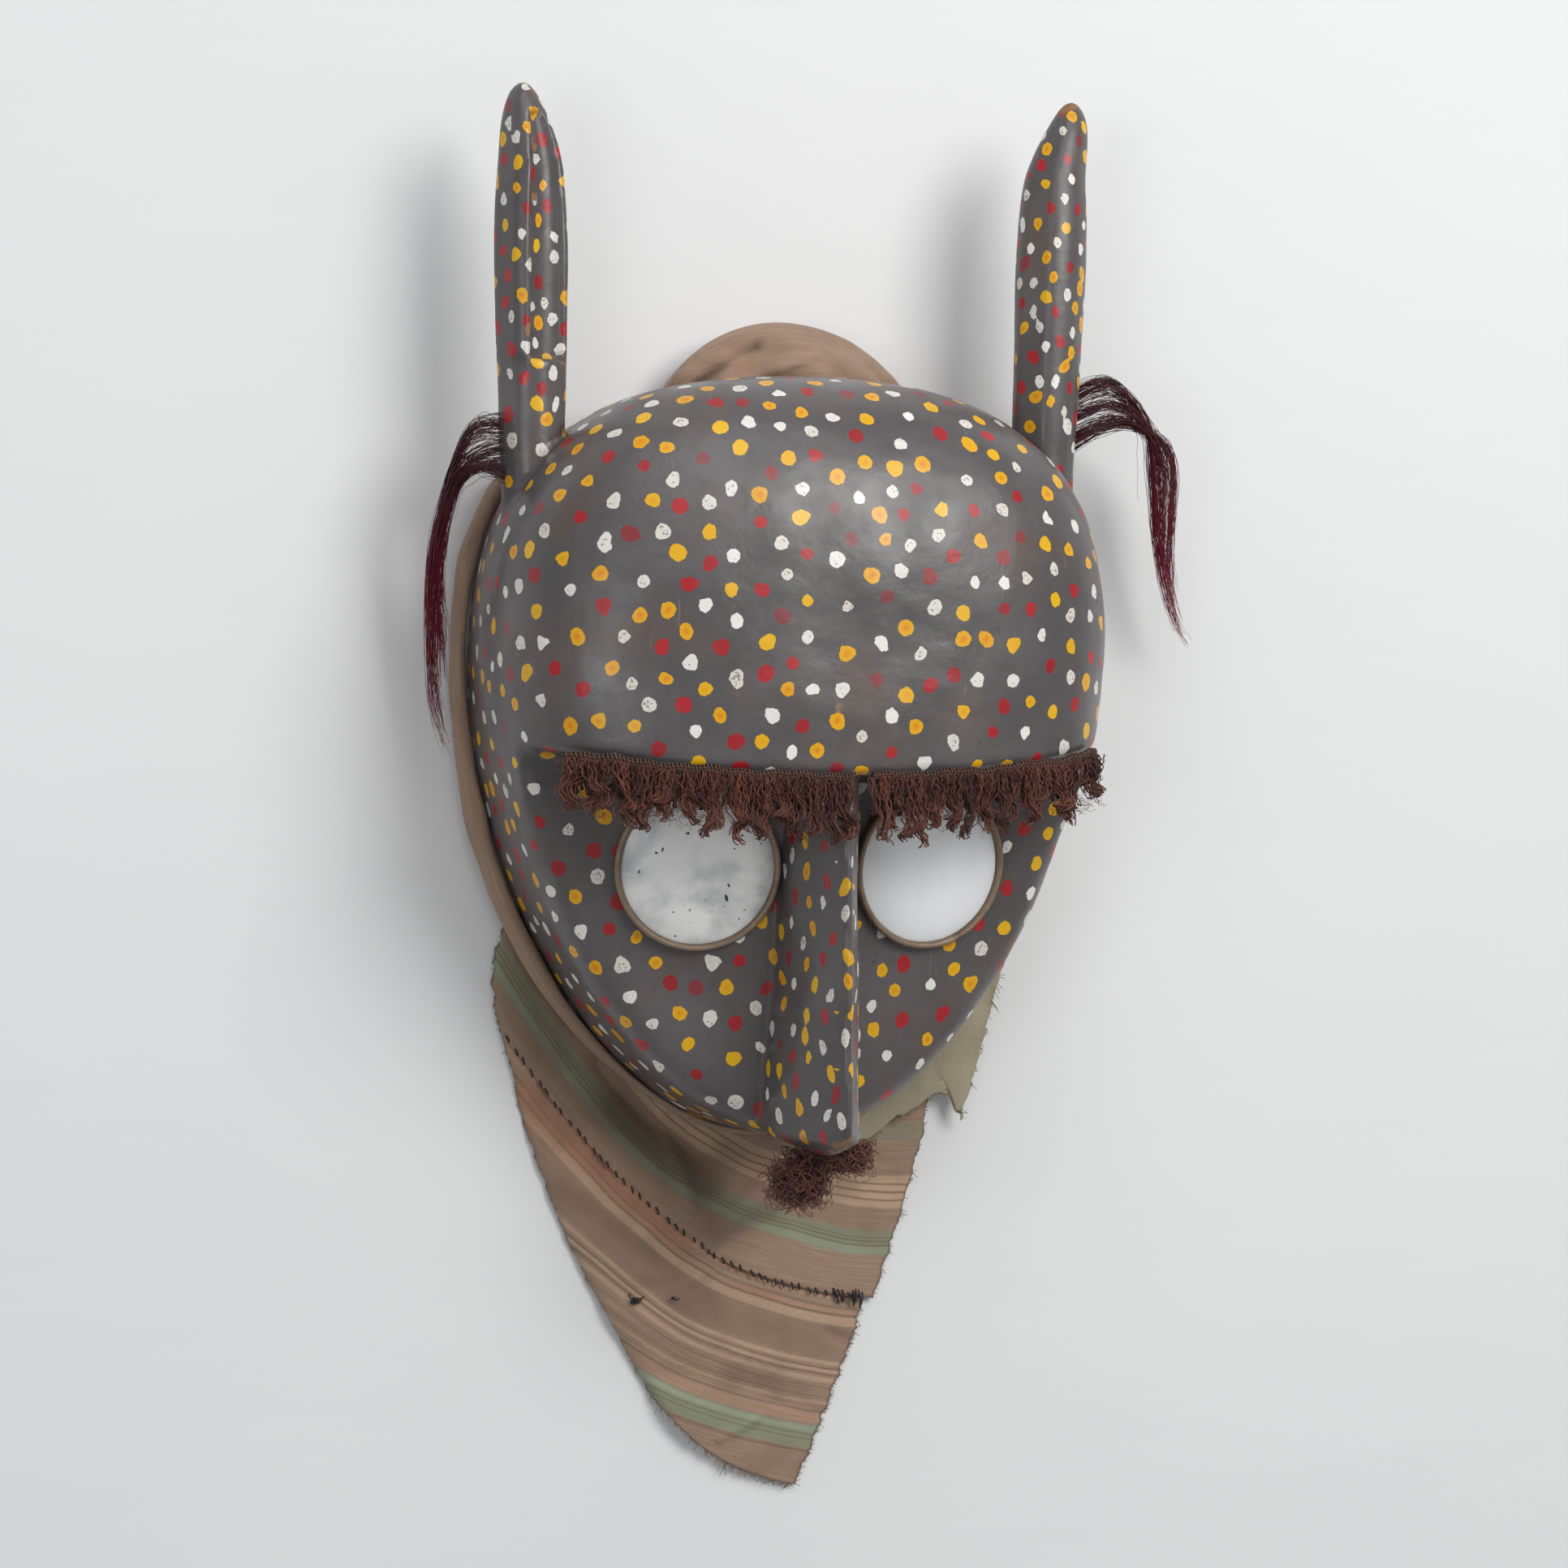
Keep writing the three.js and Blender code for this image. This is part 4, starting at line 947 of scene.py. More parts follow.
for name, guides in TUFTS.items():
    rng = np.random.default_rng(31 if name == "left" else 32)
    hairs = 260
    steps = 40
    share = np.linspace(0, 1, steps)
    lines = np.array([through(guide, share) for guide in guides])
    paths = []
    for k in range(hairs):
        stray = rng.uniform() < 0.13
        lock = rng.choice(LOCKS) + rng.normal(0, 0.04 if not stray else 0.12)
        place = np.clip(lock, 0, 1) * 2
        upper = min(int(place), 1)
        middle = lerp(lines[upper], lines[upper + 1], place - upper)
        long = rng.uniform(0.72, 1.0) if not stray else rng.uniform(0.15, 0.9)
        cut = np.linspace(0, long, steps)
        middle = np.stack([np.interp(cut, share, middle[:, i]) for i in range(3)], 1)
        gather = smoothstep(share, 0.0, 0.25)[:, None]
        own = rng.normal(0, 0.75 if not stray else 1.9, 3) * gather
        curl = crimp(rng, 1, steps, 0.8, 0.2)[0] * gather
        paths.append(middle + own + curl + rng.normal(0, [0.8, 1.8, 1.2], 3) * (1 - gather))
    thin = 0.12 * (1 - 0.5 * share**3)
    points, faces = strands(np.array(paths), thin, 3)
    hair = make_piece("hair_" + name, points, faces, dyed_hair)
    set_attribute(hair, "strand", strand_marks(hairs, steps, 3, rng.uniform(0, 1, hairs)))
    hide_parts("ear_tuft_" + name)

# The hood's rolled hem and crown bunch
# A hood of striped, hand-woven cotton was nailed round the mask. What is left of its front hem
# is rolled up just outside the rim, and its top is bunched up behind the crown.

CLOTH = 0.9
ROLL_HALF_WIDTH = 3.4
ROLL_HALF_HEIGHT = 5.4
ROLL_HEIGHT = 9.6
ROLL_CLEARANCE = 1.8


def plate(rows, thickness=CLOTH, looped=False):
    """A closed sheet whose middle surface is a grid of points, as points and faces. Each side
    lies half the thickness off along the grid's normal. A looped grid's last row meets its
    first."""
    rows = np.asarray(rows, float)
    if looped:
        down = np.roll(rows, -1, 0) - np.roll(rows, 1, 0)
    else:
        down = np.gradient(rows, axis=0)
    normal = unit(np.cross(np.gradient(rows, axis=1), down))
    if not looped and normal[..., 2].mean() < 0:
        normal = -normal
    count, width = rows.shape[:2]
    points = np.concatenate([rows + normal * thickness / 2, rows - normal * thickness / 2])
    number = np.arange(2 * count * width).reshape(2, count, width)
    if looped:
        number = np.concatenate([number, number[:, :1]], 1)
    faces = []
    for layer, order in ((0, (0, 1, 2, 3)), (1, (3, 2, 1, 0))):
        n = number[layer]
        ring = [n[:-1, :-1], n[1:, :-1], n[1:, 1:], n[:-1, 1:]]
        faces.append(np.stack([ring[i] for i in order], 2).reshape(-1, 4))
    edges = [(number[:, :, 0], 1), (number[:, :, -1], -1)]
    if not looped:
        edges += [(number[:, 0], -1), (number[:, -1], 1)]
    for edge, way in edges:
        top, bottom = edge
        ring = [top[:-1], top[1:], bottom[1:], bottom[:-1]]
        faces.append(np.stack(ring[::-1] if way > 0 else ring, 1))
    return points.reshape(-1, 3), np.concatenate(faces)


MEDIUM = srgb(152, 125, 106)
LIGHT = srgb(172, 145, 123)


def cotton(name, stripes):
    """Plain-woven cotton. Its two thread directions and its stripes come from the cloth's own
    lengths: red is the millimetres along, green those across the stripes, blue those from the
    nearest cut edge. Alpha is clean at a half, darker under it with dirt and painted shade, and rusty over it."""
    finish = Finish(name)
    cloth = finish.attribute("cloth")
    along, across, edge = finish.split(cloth.outputs["Color"])[:3]
    stain_and_shade = cloth.outputs["Alpha"]
    broad = finish.noise(24.0, 4.0)
    streak = finish.noise(1.0, 3.0, finish.stretch((0.03, 1.3, 0.0), cloth.outputs["Color"]))
    colour = finish.mix(finish.step(streak, 0.3, 0.72, 0.15, 0.85), MEDIUM, LIGHT)
    if stripes:
        waver = finish.math("MULTIPLY_ADD", finish.noise(40.0, 2.0), 1.6, finish.math("ADD", across, -0.8))
        for low, high, soft, tint, amount in stripes:
            rise = finish.step(waver, low - soft, low + soft)
            fall = finish.step(waver, high - soft, high + soft, 1.0, 0.0)
            share = finish.math("MULTIPLY", finish.math("MULTIPLY", rise, fall), amount)
            colour = finish.mix(share, colour, tint)
    colour = finish.mix(finish.step(streak, 0.55, 0.75, 0.0, 0.16), colour, srgb(196, 170, 146))
    rust = finish.step(stain_and_shade, 0.5, 1.0, 0.0, 0.7)
    colour = finish.mix(rust, colour, srgb(172, 114, 84))
    # Under a half the cloth darkens: dirt and painted shade in the folds and under the head.
    soil_and_shade = finish.step(stain_and_shade, 0.5, 0.0, 0.0, 0.8)
    colour = finish.mix(soil_and_shade, colour, srgb(80, 58, 46))
    darkening = finish.step(broad, 0.5, 0.72, 0.0, 0.35)
    colour = finish.mix(darkening, colour, srgb(112, 92, 78))
    weft = finish.math("SINE", finish.math("MULTIPLY", along, 2 * math.pi / 0.85))
    warp = finish.math("SINE", finish.math("MULTIPLY", across, 2 * math.pi / 0.85))
    weave = finish.math("MULTIPLY", weft, warp)
    colour = finish.mix(finish.step(weave, -1, 1, 0.0, 0.14), colour, srgb(86, 70, 58))
    dark_edge = finish.step(edge, 1.6, 0.2, 0.0, 0.55)
    colour = finish.mix(dark_edge, colour, srgb(74, 58, 48))
    finish.set(Base_Color=colour, Roughness=0.92, Sheen_Weight=0.15)
    relief = finish.math("MULTIPLY_ADD", weave, 0.12, finish.noise(320.0, 3.0))
    finish.bump(relief, 0.0008, 0.7)
    return finish.material


plain_cotton = cotton("plain_cotton", ())
around = 260
over = 24
angle = np.arange(around)[:, None] * 2 * math.pi / around
share = np.linspace(0, 1, over)[None, :]
turn = -1.9 + share * 2 * math.pi * 1.3
uneven = 1 + 0.09 * np.sin(7 * angle + 1) + 0.06 * np.sin(17 * angle + 2) + 0.05 * np.sin(31 * angle)
tight = (1.0 - 0.3 * share) * uneven
fold = 1 + 0.05 * np.sin(3 * turn + 9 * angle) + 0.03 * np.sin(5 * turn - 23 * angle)
under_chin = smoothstep(angle, math.radians(236), math.radians(258))
under_chin = under_chin * smoothstep(angle, math.radians(338), math.radians(318))
by_ear = smoothstep(angle, math.radians(102), math.radians(110)) * smoothstep(angle, math.radians(152), math.radians(142))
full = 1 - 0.72 * np.maximum(under_chin, by_ear)
off = 0.5 + full * (0.4 + ROLL_HALF_WIDTH + ROLL_HALF_WIDTH * tight * fold * np.cos(turn))
height = lerp(3.0, ROLL_HEIGHT - 0.3, full) + full * ROLL_HALF_HEIGHT * tight * fold * np.sin(turn)
low_left = np.exp(-(((angle - math.radians(225)) / 0.35) ** 2))
off = off + 2.2 * low_left * np.maximum(np.cos(turn), 0)
radius = wall_radius(angle, ROLL_HEIGHT) + np.maximum(off, 0.8)
rows = np.stack([radius * np.cos(angle), radius * np.sin(angle), np.maximum(height, 0.7)], 2)
points, faces = plate(rows, CLOTH, looped=True)
roll = make_piece("hood_roll", points, faces, plain_cotton)
marks = np.zeros((2, around, over, 4))
marks[..., 0] = angle * 150
marks[..., 1] = share * 38
marks[..., 2] = np.minimum(share, 1 - share) * 38
marks[..., 3] = 0.5
set_attribute(roll, "cloth", marks.reshape(-1, 4))
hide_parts("hood_rim")

# The crown bunch
# The hood's top, pulled in behind the crown: one fold lies over another, and both go down to
# the board.


def fold_height(x, y, start, end, width, height):
    """A ridge, or a valley, along a straight line: a bell curve of the distance from it."""
    way = np.subtract(end, start)
    share = ((x - start[0]) * way[0] + (y - start[1]) * way[1]) / (way**2).sum()
    near = np.clip(share, 0, 1)
    far = np.hypot(x - start[0] - near * way[0], y - start[1] - near * way[1])
    return height * np.exp(-((far / width) ** 2))


def crown_edge(x):
    """How far up the wood reaches over x, at the widest level."""
    turn = np.full_like(x, math.pi / 2)
    for _ in range(20):
        turn = np.arccos(x / outline_radius(turn))
    return outline_radius(turn) * np.sin(turn)


def bunch_fold(start, end, reach, lift, lean, seed):
    """A fold of cloth, from the wood over its top edge and down to the board behind it."""
    share = np.linspace(0, 1, 80)[:, None]
    around = np.linspace(0, 1, 34)[None, :]
    x = lerp(start, end, share)
    foot = crown_edge(x) - 3
    swell = np.sin(math.pi * share**lean) ** 0.8
    tall = (reach - foot) * swell + 3.2
    turn = math.pi * (0.92 - 1.12 * around)
    y = foot + tall * (0.5 - 0.5 * np.cos(math.pi * np.clip(around * 1.25, 0, 1)))
    high = 16.0 + lift * swell * np.sin(turn) * 0.9 + 4 * swell
    high = np.where(around > 0.8, lerp(high, 3.0, smoothstep(around, 0.8, 1.0)), high)
    y = y - np.where(around > 0.8, 1.5 * (around - 0.8), 0) * 12
    crease = 0.9 * np.sin(around * 9 + share * 14 + seed) * swell
    fine = 0.35 * ripple(x, y, high, 11.0, seed)
    return np.stack(np.broadcast_arrays(x + 0 * around, y, np.maximum(high + crease + fine, 1.2)), 2)


for name, values in (("under", (-41, 66, 126.5, 9.5, 0.85, 3)), ("over", (-32, 60, 119.0, 12.0, 1.05, 5))):
    rows = bunch_fold(*values)
    pocket = fold_height(rows[..., 0], rows[..., 1], (-30, 104), (-6, 119), 2.6, 1.0)
    ridge = fold_height(rows[..., 0], rows[..., 1], (-26, 100), (18, 116), 2.2, 1.0)
    rows[..., 2] = np.maximum(rows[..., 2] - 3.0 * pocket + 2.0 * ridge, 1.2)
    points, faces = plate(rows)
    piece = make_piece("bunch_" + name, points, faces, plain_cotton)
    marks = np.zeros((2, *rows.shape[:2], 4))
    marks[..., 0] = np.linspace(0, 107, rows.shape[0])[:, None]
    marks[..., 1] = np.linspace(0, 50, rows.shape[1])[None, :]
    marks[..., 2] = 5.0
    # The cloth is rusty round one spot and darker down the pocket fold: painted shade in its hollow.
    away = np.hypot(rows[..., 0] + 13, rows[..., 1] - 113)
    marks[..., 3] = np.clip(0.5 + 0.35 * np.exp(-((away / 7) ** 2)) - 0.4 * pocket, 0, 1)
    set_attribute(piece, "cloth", marks.reshape(-1, 4))

# The hood's striped strips
# Two widths of striped cotton hang from the hood below the chin, overcast together with coarse
# black thread. They are cut off ragged, lie flat at the sides and swell up between them.

STRIP_FROM_ANGLE = math.radians(-133)
STRIP_TO_ANGLE = math.radians(-59)
SEAM = np.array([[-109, -163], [-38, -272], [53, -278]], float)
HEM = np.array([[-44, -315], [-23, -347], [18, -355]], float)
SWELL = 9
GAP = 0.3
CAD_CLOTH = 2.4


def bend(points, share):
    """A row given by its start, pull and end, at shares along it."""
    a, b, c = (1 - share) ** 2, 2 * share * (1 - share), share**2
    return a[..., None] * points[0] + b[..., None] * points[1] + c[..., None] * points[2]


def under_roll(share):
    turn = lerp(STRIP_FROM_ANGLE, STRIP_TO_ANGLE, share)
    radius = wall_radius(turn, 3.0) + 1.4
    return np.stack([radius * np.cos(turn), radius * np.sin(turn)], -1)


def seam(share):
    """The seam, which turns more sharply in its middle than an even bend."""
    share = np.asarray(share, float)
    turn = np.exp(-(((share - 0.6) / 0.13) ** 2))
    return bend(SEAM, share) - np.stack([0.6 * turn, 1.8 * turn], -1)


def from_seam(points):
    """How far points are from the seam, across the stripes, and how far along it."""
    line = seam(np.linspace(-0.15, 1.15, 260))
    length = np.concatenate([[0], np.cumsum(np.linalg.norm(np.diff(line, axis=0), axis=1))])
    flat = points[..., :2].reshape(-1, 2)
    far = np.linalg.norm(flat[:, None] - line[None], axis=2)
    nearest = far.argmin(1)
    return far.min(1).reshape(points.shape[:-1]), length[nearest].reshape(points.shape[:-1])


# Each fold runs from one place to another, with its half width and its height.
FOLDS = [
    ((-28, -254), (5, -228), 5.0, 5.0),
    ((-16, -256), (18, -240), 7.0, -4.0),
    ((-90, -196), (-52, -236), 8.0, -3.4),
    ((-66, -236), (-34, -258), 8.0, -3.0),
    ((-64, -178), (-26, -216), 5.5, -4.6),
    ((-42, -190), (-30, -236), 3.4, 3.4),
    ((-52, -264), (-24, -262), 4.0, 2.0),
    ((-28, -268), (-18, -262), 2.0, 1.6),
    ((-60, -280), (0, -302), 7.0, 2.4),
    ((-40, -306), (20, -318), 5.0, -1.8),
    ((9, -320), (31, -326), 2.2, -2.2),
    ((-16, -334), (2, -326), 1.8, 1.8),
    ((34, -292), (52, -300), 3.0, -2.0),
    ((30, -236), (62, -228), 4.0, -1.8),
]


def strip(first, last, swell_first, swell_last, bulge, rows, columns, seed, lap, notch):
    """A strip between two rows, each a function of the share along it, with a few soft
    wrinkles and ragged cut edges. Its first row lies lower by the lap and is cut back at the
    right by the notch."""
    down = np.linspace(0, 1, rows)[:, None]
    share = np.linspace(0, 1, columns)[None, :]
    out = (bulge[0] * (1 - share) ** 2 - bulge[1] * share**2) * np.sin(math.pi * down)
    a, b = first(share), last(share)
    x = lerp(a[..., 0], b[..., 0], down) - out
    y = lerp(a[..., 1], b[..., 1], down)
    rising = np.sqrt(1 - np.maximum(0, 1 - share / 0.3) ** 2)
    falling = smoothstep(1 - share, -0.1, 0.5)
    swell = lerp(swell_first, swell_last, down) * rising * falling
    height = GAP + CAD_CLOTH / 2 + swell
    for fold in FOLDS:
        height = height + fold_height(x, y, *fold)
    inner = np.minimum(1, 6 * np.minimum(share, 1 - share) + 0.25)
    height = height + 0.7 * ripple(x, y, 0 * x, 46.0, seed) * inner + 0.22 * ripple(x, y, 0 * x, 15.0, seed + 1) * inner
    ragged = 0.45 * ripple(x, y, 0 * x, 7.0, seed + 2) + 0.3 * ripple(x, y, 0 * x, 2.6, seed + 3)
    side = np.clip(1 - np.minimum(share, 1 - share) * 40, 0, 1)
    x = x + ragged * side - notch * (1 - down) ** 3 * share**6
    height = height - lap * (1 - smoothstep(down, 0.0, 0.06))
    return np.stack(np.broadcast_arrays(x, y, np.maximum(height, 0.7)), 2)


def cut_edge_distance(rows):
    """Millimetres from each grid point to the nearer end of its row, measured along the row."""
    along = np.linalg.norm(np.diff(rows, axis=1), axis=2)
    before = np.concatenate([np.zeros((len(rows), 1)), np.cumsum(along, 1)], 1)
    after = before[:, -1:] - before
    return np.minimum(before, after)


def cloth_marks(rows, rust=(), dirt_and_shade=(), upper=False):
    """The cotton's marks on a grid, with rusty patches and darker patches of dirt and painted shade,
    each from one place to another with a half width and an amount."""
    across, along = from_seam(rows)
    stain_and_shade = np.full(across.shape, 0.5)
    for patches, way in ((rust, 0.5), (dirt_and_shade, -0.5)):
        for patch in patches:
            stain_and_shade = stain_and_shade + way * fold_height(rows[..., 0], rows[..., 1], *patch)
    marks = np.zeros((2, *rows.shape[:2], 4))
    marks[..., 0] = along
    marks[..., 1] = across - (8 * smoothstep(along, 115, 195) if upper else 0)
    marks[..., 2] = cut_edge_distance(rows)
    marks[..., 3] = np.clip(stain_and_shade, 0, 1)
    return marks.reshape(-1, 4)


GREEN = srgb(140, 149, 124)
PALE_GREEN = srgb(158, 168, 144)
CREAM = srgb(198, 168, 140)
PINK = srgb(190, 146, 120)
LINE = srgb(100, 76, 62)
upper_stripes = [
    (10.0, 20.5, 0.8, GREEN, 0.8),
    (10.5, 13.5, 0.6, PALE_GREEN, 0.5),
    (13.8, 14.4, 0.3, LINE, 0.5),
    (15.6, 16.3, 0.3, LINE, 0.5),
    (17.2, 17.8, 0.3, LINE, 0.4),
    (30.0, 43.5, 0.5, CREAM, 0.9),
    (32.8, 33.6, 0.3, LINE, 0.6),
    (36.0, 37.0, 0.35, LINE, 0.6),
    (39.4, 40.2, 0.3, LINE, 0.6),
    (58.0, 66.0, 1.4, GREEN, 0.5),
]
lower_stripes = [
    (0.6, 2.2, 0.4, PINK, 0.5),
    (4.8, 5.5, 0.3, LINE, 0.45),
    (6.0, 7.6, 0.3, PINK, 0.6),
    (7.9, 8.6, 0.3, LINE, 0.45),
    (9.0, 12.6, 0.4, CREAM, 0.7),
    (13.2, 27.0, 0.9, MEDIUM, 0.85),
    (28.0, 29.5, 0.35, CREAM, 0.75),
    (30.6, 31.3, 0.3, LINE, 0.45),
    (31.6, 32.8, 0.3, CREAM, 0.7),
    (33.3, 34.0, 0.3, LINE, 0.5),
    (35.0, 37.0, 0.35, CREAM, 0.7),
    (39.0, 39.6, 0.3, LINE, 0.35),
    (43.0, 43.6, 0.3, LINE, 0.35),
    (45.3, 46.6, 0.35, CREAM, 0.6),
    (49.6, 50.4, 0.3, LINE, 0.45),
    (50.8, 55.0, 0.5, PINK, 0.3),
    (55.6, 65.6, 0.6, GREEN, 0.85),
    (56.4, 58.6, 0.5, PALE_GREEN, 0.8),
    (59.4, 60.0, 0.3, LINE, 0.4),
    (61.4, 62.0, 0.3, LINE, 0.4),
    (66.0, 67.4, 0.3, LINE, 0.4),
]
upper_rows = strip(under_roll, seam, 0, SWELL, (5, 4), 64, 110, 41, 0, 0)
points, faces = plate(upper_rows)
upper = make_piece("strip_upper", points, faces, cotton("upper_cotton", upper_stripes))
# Darker patches of painted shade: the head's shadow over the upper left, the fold valleys and the shade under the chin.
dirt_and_shade = [
    ((-110, -150), (-30, -232), 20.0, 0.3),
    ((-60, -196), (-22, -228), 10.0, 0.52),
    ((-20, -248), (8, -240), 8.0, 0.45),
    ((-12, -212), (14, -222), 8.0, 0.4),
]
set_attribute(upper, "cloth", cloth_marks(upper_rows, (), dirt_and_shade, upper=True))
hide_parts("hood_strip_upper")
lower_rows = strip(
    lambda share: seam(share) + [0.4, 0.9],
    lambda share: bend(HEM, share),
    SWELL,
    SWELL / 3,
    (8.5, 0),
    64,
    110,
    51,
    1.1,
    5.0,
)
points, faces = plate(lower_rows)
lower = make_piece("strip_lower", points, faces, cotton("lower_cotton", lower_stripes))
rust = [
    ((-100, -190), (-34, -250), 9.0, 0.75),
    ((-30, -266), (10, -276), 4.0, 0.3),
    ((50, -288), (54, -300), 4.0, 0.5),
]
# Darker patches along the fold valleys: painted shade, partly dirt.
dirt_and_shade = [
    ((-84, -228), (-22, -270), 7.0, 0.42),
    ((-36, -278), (30, -296), 7.0, 0.22),
    ((0, -350), (22, -346), 8.0, 0.2),
]
set_attribute(lower, "cloth", cloth_marks(lower_rows, rust, dirt_and_shade))
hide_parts("hood_strip_lower")

# The torn corner
# A scrap of the hood's other side shows between the rim and the strips: thin greenish cotton,
# torn to a point, with its edge frayed.

CORNER_TOP = np.array([109.0, -138.0])
CORNER_POINT = np.array([89.0, -206.0])
CORNER_END = np.array([36.0, -217.0])
share = np.linspace(0, 1, 64)[None, :]
outward = np.linspace(0, 1, 32)[:, None]
turn = lerp(math.radians(-44), math.radians(-81), share)
radius = wall_radius(turn, 9.0) + 0.9
before = share < 0.6
part = np.where(before, share / 0.6, (share - 0.6) / 0.4)
start = np.where(before[..., None], CORNER_TOP, CORNER_POINT)
end = np.where(before[..., None], CORNER_POINT, CORNER_END)
edge = start + (end - start) * part[..., None]
edge[..., 1] += np.where(before, 0, 15 * np.sin(math.pi * part**0.4))
x = lerp(radius * np.cos(turn), edge[..., 0], outward)
y = lerp(radius * np.sin(turn), edge[..., 1], outward)
tattered = 0.9 * ripple(x, y, 0 * x, 6.0, 61) + 0.5 * ripple(x, y, 0 * x, 2.2, 62)
y = y + tattered * smoothstep(outward, 0.86, 1.0)
x = x + 0.6 * tattered * smoothstep(outward, 0.86, 1.0)
z = lerp(9.6, 8.5, outward) + 0.8 * ripple(x, y, 0 * x, 24.0, 63) * np.sin(math.pi * outward)
corner_rows = np.stack(np.broadcast_arrays(x, y, z), 2)
points, faces = plate(corner_rows)
green_stripes = [(-200.0, 400.0, 1.0, srgb(172, 168, 142), 0.75)]
corner = make_piece("torn_corner", points, faces, cotton("green_cotton", green_stripes))
set_attribute(corner, "cloth", cloth_marks(corner_rows))

# The seam's stitches and the loose threads
# Coarse black cotton sewn over and over the seam, with a big knot near its right end, and the
# threads that have worked loose along every cut edge.

black_thread = fibre("black_thread", srgb(22, 20, 22), srgb(48, 42, 42), srgb(48, 42, 42), 0.8, 0.1)
tan_thread = fibre("tan_thread", srgb(70, 54, 44), srgb(150, 128, 108), srgb(150, 128, 108), 0.9, 0.1)
rng = np.random.default_rng(71)


def grid_point(rows, down, share):
    """A point of a grid of points at shares down and along it."""
    r = np.clip(np.asarray(down) * (rows.shape[0] - 1), 0, rows.shape[0] - 1)
    c = np.clip(np.asarray(share) * (rows.shape[1] - 1), 0, rows.shape[1] - 1)
    r0, c0 = np.floor(r).astype(int), np.floor(c).astype(int)
    r1, c1 = np.minimum(r0 + 1, rows.shape[0] - 1), np.minimum(c0 + 1, rows.shape[1] - 1)
    fr, fc = (r - r0)[..., None], (c - c0)[..., None]
    near = rows[r0, c0] * (1 - fc) + rows[r0, c1] * fc
    far = rows[r1, c0] * (1 - fc) + rows[r1, c1] * fc
    return near * (1 - fr) + far * fr


stitches = []
t = np.linspace(0, 1, 9)
for at in np.linspace(0.015, 0.965, 44):
    at = at + rng.normal(0, 0.003)
    here = seam(at)
    turn = math.radians(rng.normal(-72, 10))
    long = rng.uniform(2.2, 3.2)
    level = grid_point(upper_rows, 1.0, at)[2]
    flat = here + long * (t - 0.5)[:, None] * [math.cos(turn), math.sin(turn)] + [0, rng.normal(0, 0.3)]
    stitches.append(np.column_stack([flat, level + 0.5 + 0.7 * np.sin(math.pi * t)]))
for _ in range(11):
    here = seam(rng.uniform(0.9, 0.965)) + rng.normal(0, 0.4, 2)
    turn = math.radians(rng.normal(-80, 16))
    long = rng.uniform(3.5, 7.5)
    flat = here + long * (t - 0.5)[:, None] * [math.cos(turn), math.sin(turn)]
    stitches.append(np.column_stack([flat, 5.6 + 1.6 * np.sin(math.pi * t) + rng.uniform(0, 1)]))
points, faces = strands(np.array(stitches), 0.42, 6)
sewing = make_piece("seam_stitches", points, faces, black_thread)
set_attribute(sewing, "strand", strand_marks(len(stitches), 9, 6, rng.uniform(0, 1, len(stitches))))

knots = []
t = np.linspace(0, 1, 40)[:, None]
for place, size, count in (((-54.0, -275.0, 10.5), 1.5, 5), ((-37.5, -274.5, 11.0), 0.7, 2)):
    for _ in range(count):
        phase = rng.uniform(0, 6.28, 3)
        waves = [np.sin(2 * math.pi * t[:, 0] * f + p) for f, p in zip(rng.uniform(0.5, 2, 3), phase)]
        tail = rng.normal(0, 1.4, 3) * [1.4, 0.8, 0.1] * np.maximum(t - 0.7, 0) / 0.3
        knots.append(np.array(place) + size * np.stack(waves, 1) * [1, 0.8, 0.4] + tail)
points, faces = strands(np.array(knots), 0.3, 5)
knot_piece = make_piece("thread_knots", points, faces, black_thread)
set_attribute(knot_piece, "strand", strand_marks(len(knots), 40, 5, rng.uniform(0, 1, len(knots))))


def fray(rows, edge, count, length, seed):
    """Loose threads along one edge of a grid, each bending its own way."""
    rng = np.random.default_rng(seed)
    t = np.linspace(0, 1, 9)[:, None]
    found = []
    for _ in range(count):
        at = rng.uniform(0, 1)
        here, inside = {
            "right": (grid_point(rows, at, 1.0), grid_point(rows, at, 0.97)),
            "left": (grid_point(rows, at, 0.0), grid_point(rows, at, 0.03)),
            "last": (grid_point(rows, 1.0, at), grid_point(rows, 0.96, at)),
        }[edge]
        way = unit(here - inside)
        side = np.array([-way[1], way[0], 0]) * rng.normal(0, 0.5)
        long = length * rng.uniform(0.3, 1.0) ** 1.5
        bow = np.array([*rng.normal(0, 0.25, 2), rng.uniform(-0.1, 0.25)]) * long
        line = here - way * 0.6 + (way + side) * t * long + bow * t * t
        line[:, 2] = np.maximum(line[:, 2], 0.4)
        found.append(line)
    return found


threads = fray(upper_rows, "right", 130, 2.4, 81) + fray(lower_rows, "right", 150, 2.4, 82)
threads += fray(lower_rows, "last", 240, 3.2, 83) + fray(upper_rows, "left", 60, 2.0, 84)
threads += fray(corner_rows, "last", 170, 2.6, 85) + fray(lower_rows, "left", 90, 1.6, 86)
threads += fray(lower_rows, "last", 14, 7.0, 87) + fray(corner_rows, "last", 8, 6.0, 88)
points, faces = strands(np.array(threads), 0.14, 4)
loose = make_piece("loose_threads", points, faces, tan_thread)
set_attribute(loose, "strand", strand_marks(len(threads), 9, 4, rng.uniform(0, 1, len(threads))))

# The stage
# A pale painted board under the mask, a large soft lamp high on the right, a fill from the left
# and an even white sky. The camera looks straight down, leaning to the mask's left.


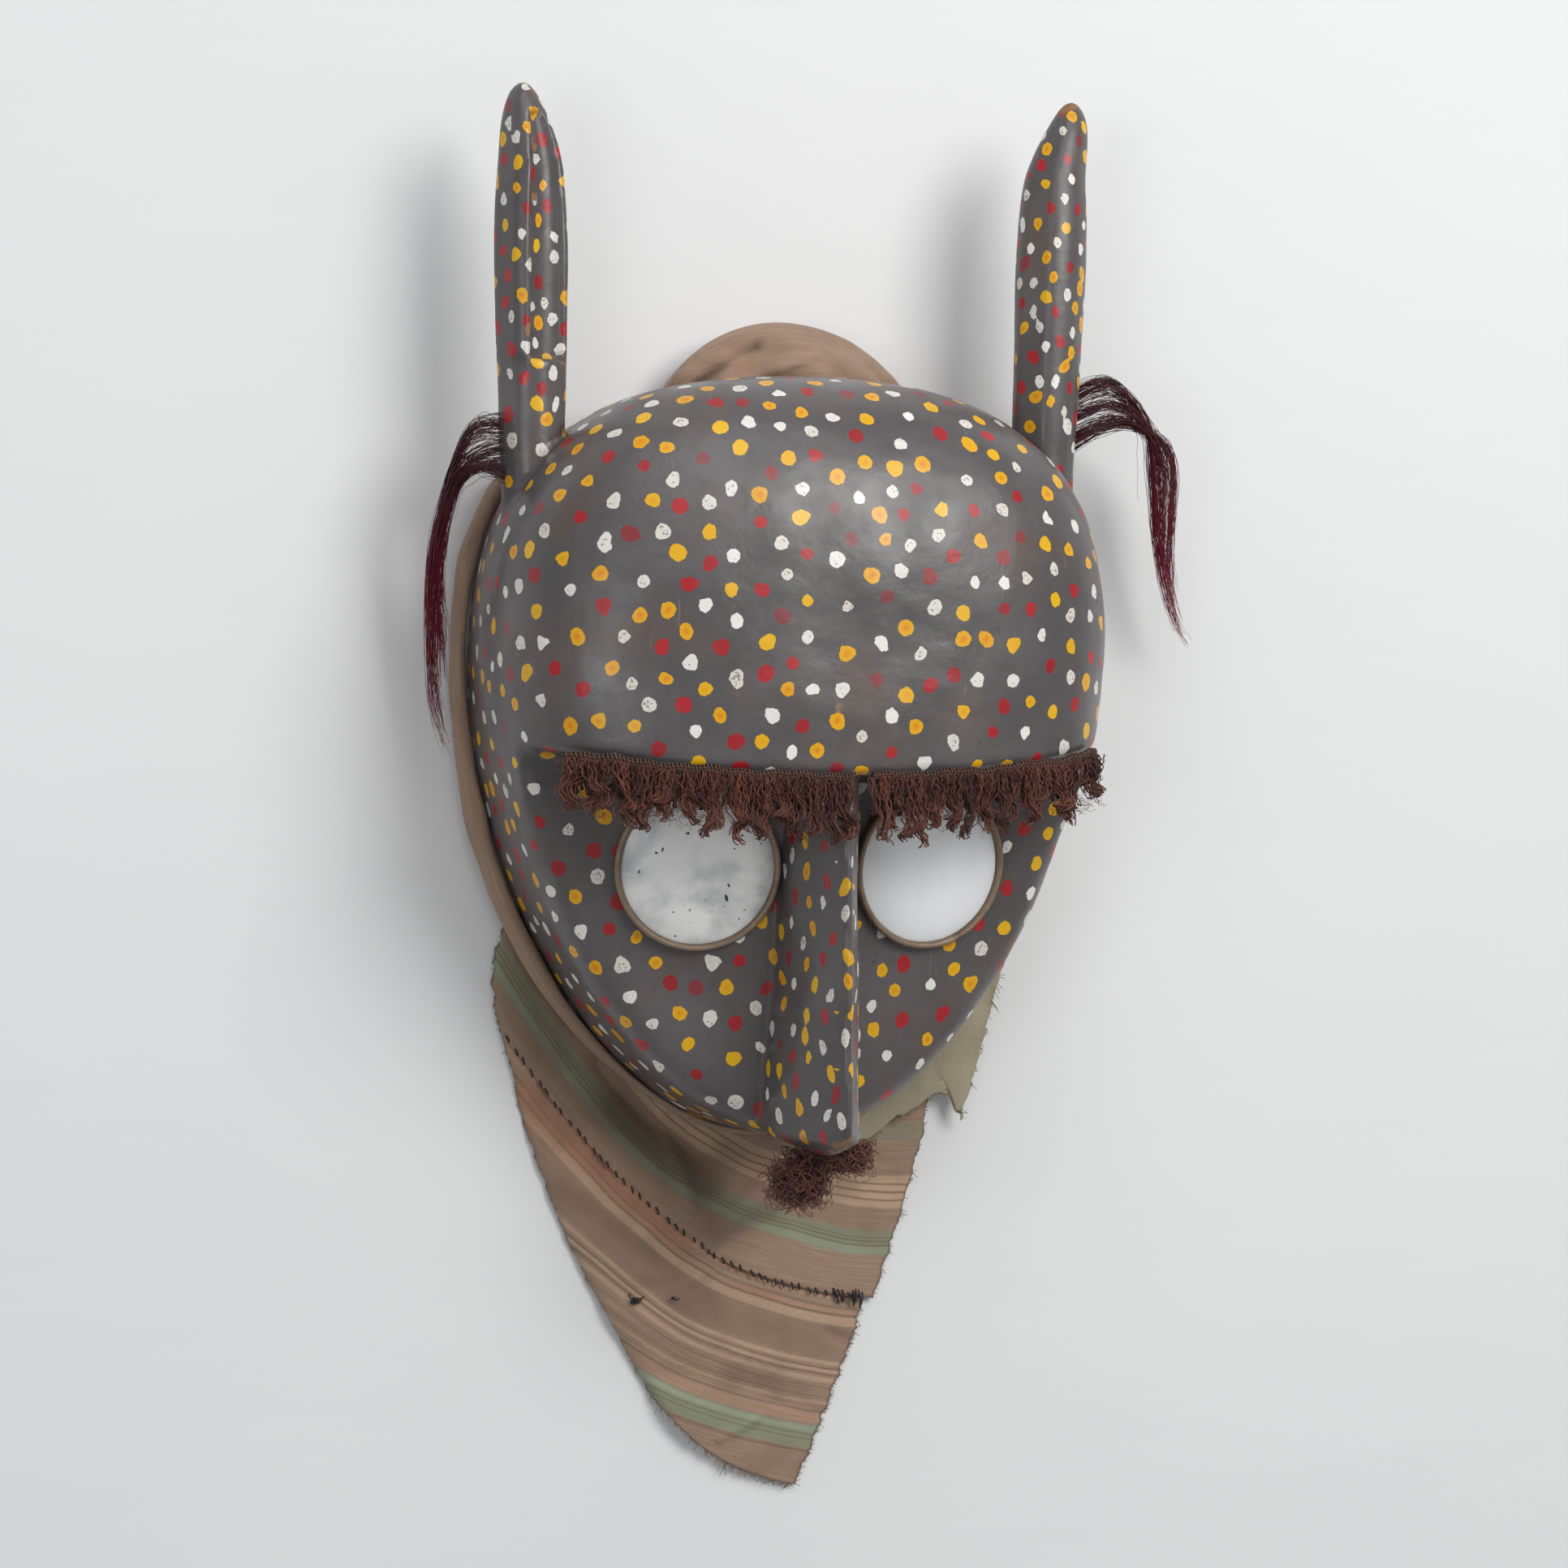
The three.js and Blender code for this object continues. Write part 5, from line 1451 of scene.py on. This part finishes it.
def stage_board():
    finish = Finish("pale_board")
    finish.set(Base_Color=finish.mix(finish.noise(3.0, 3.0), srgb(226, 227, 228), srgb(234, 234, 234)))
    finish.set(Roughness=0.9)
    streaks = finish.noise(30.0, 4.0, finish.stretch((0.25, 1.0, 1.0)))
    finish.bump(streaks, 0.0012, 0.35)
    return finish.material


board = bpy.data.meshes.new("board")
board.from_pydata([(-3, -3, 0), (3, -3, 0), (3, 3, 0), (-3, 3, 0)], [], [(0, 1, 2, 3)])
board.materials.append(stage_board())
board_object = bpy.data.objects.new("board", board)
bpy.context.scene.collection.objects.link(board_object)

target = Vector(((-5.3 + ZERO[0]) / 1000, (-61.4 + ZERO[1]) / 1000, 0.06))
lean = math.radians(18)
back = Vector((-math.sin(lean), 0, math.cos(lean)))
right = Vector((math.cos(lean), 0, math.sin(lean)))
camera_data = bpy.data.cameras.new("camera")
camera_data.lens = 112.9
camera_data.sensor_width = 36
camera = bpy.data.objects.new("camera", camera_data)
axes = Matrix((right, Vector((0, 1, 0)), back)).transposed()
camera.matrix_world = Matrix.Translation(target + back * 2.0) @ axes.to_4x4()
bpy.context.scene.collection.objects.link(camera)
bpy.context.scene.camera = camera


def add_lamp(name, place, size, power, tint):
    data = bpy.data.lights.new(name, "AREA")
    data.shape = "DISK"
    data.size = size
    data.energy = power
    data.color = tint
    lamp = bpy.data.objects.new(name, data)
    lamp.location = place
    lamp.rotation_mode = "QUATERNION"
    lamp.rotation_quaternion = (target - Vector(place)).to_track_quat("-Z", "Y")
    bpy.context.scene.collection.objects.link(lamp)


add_lamp("key", (0.78, 0.86, 1.65), 1.1, 22.5, (1.0, 0.99, 0.97))
add_lamp("top", (-0.1, 2.0, 1.5), 1.8, 15, (0.99, 0.99, 1.0))
add_lamp("fill", (-1.25, 0.05, 1.65), 0.8, 5, (0.98, 0.99, 1.0))
world = bpy.data.worlds.new("sky")
world.use_nodes = True
world.node_tree.nodes["Background"].inputs["Color"].default_value = (0.96, 0.98, 1.0, 1)
world.node_tree.nodes["Background"].inputs["Strength"].default_value = 0.34
bpy.context.scene.world = world
bpy.context.scene.view_settings.view_transform = "Standard"
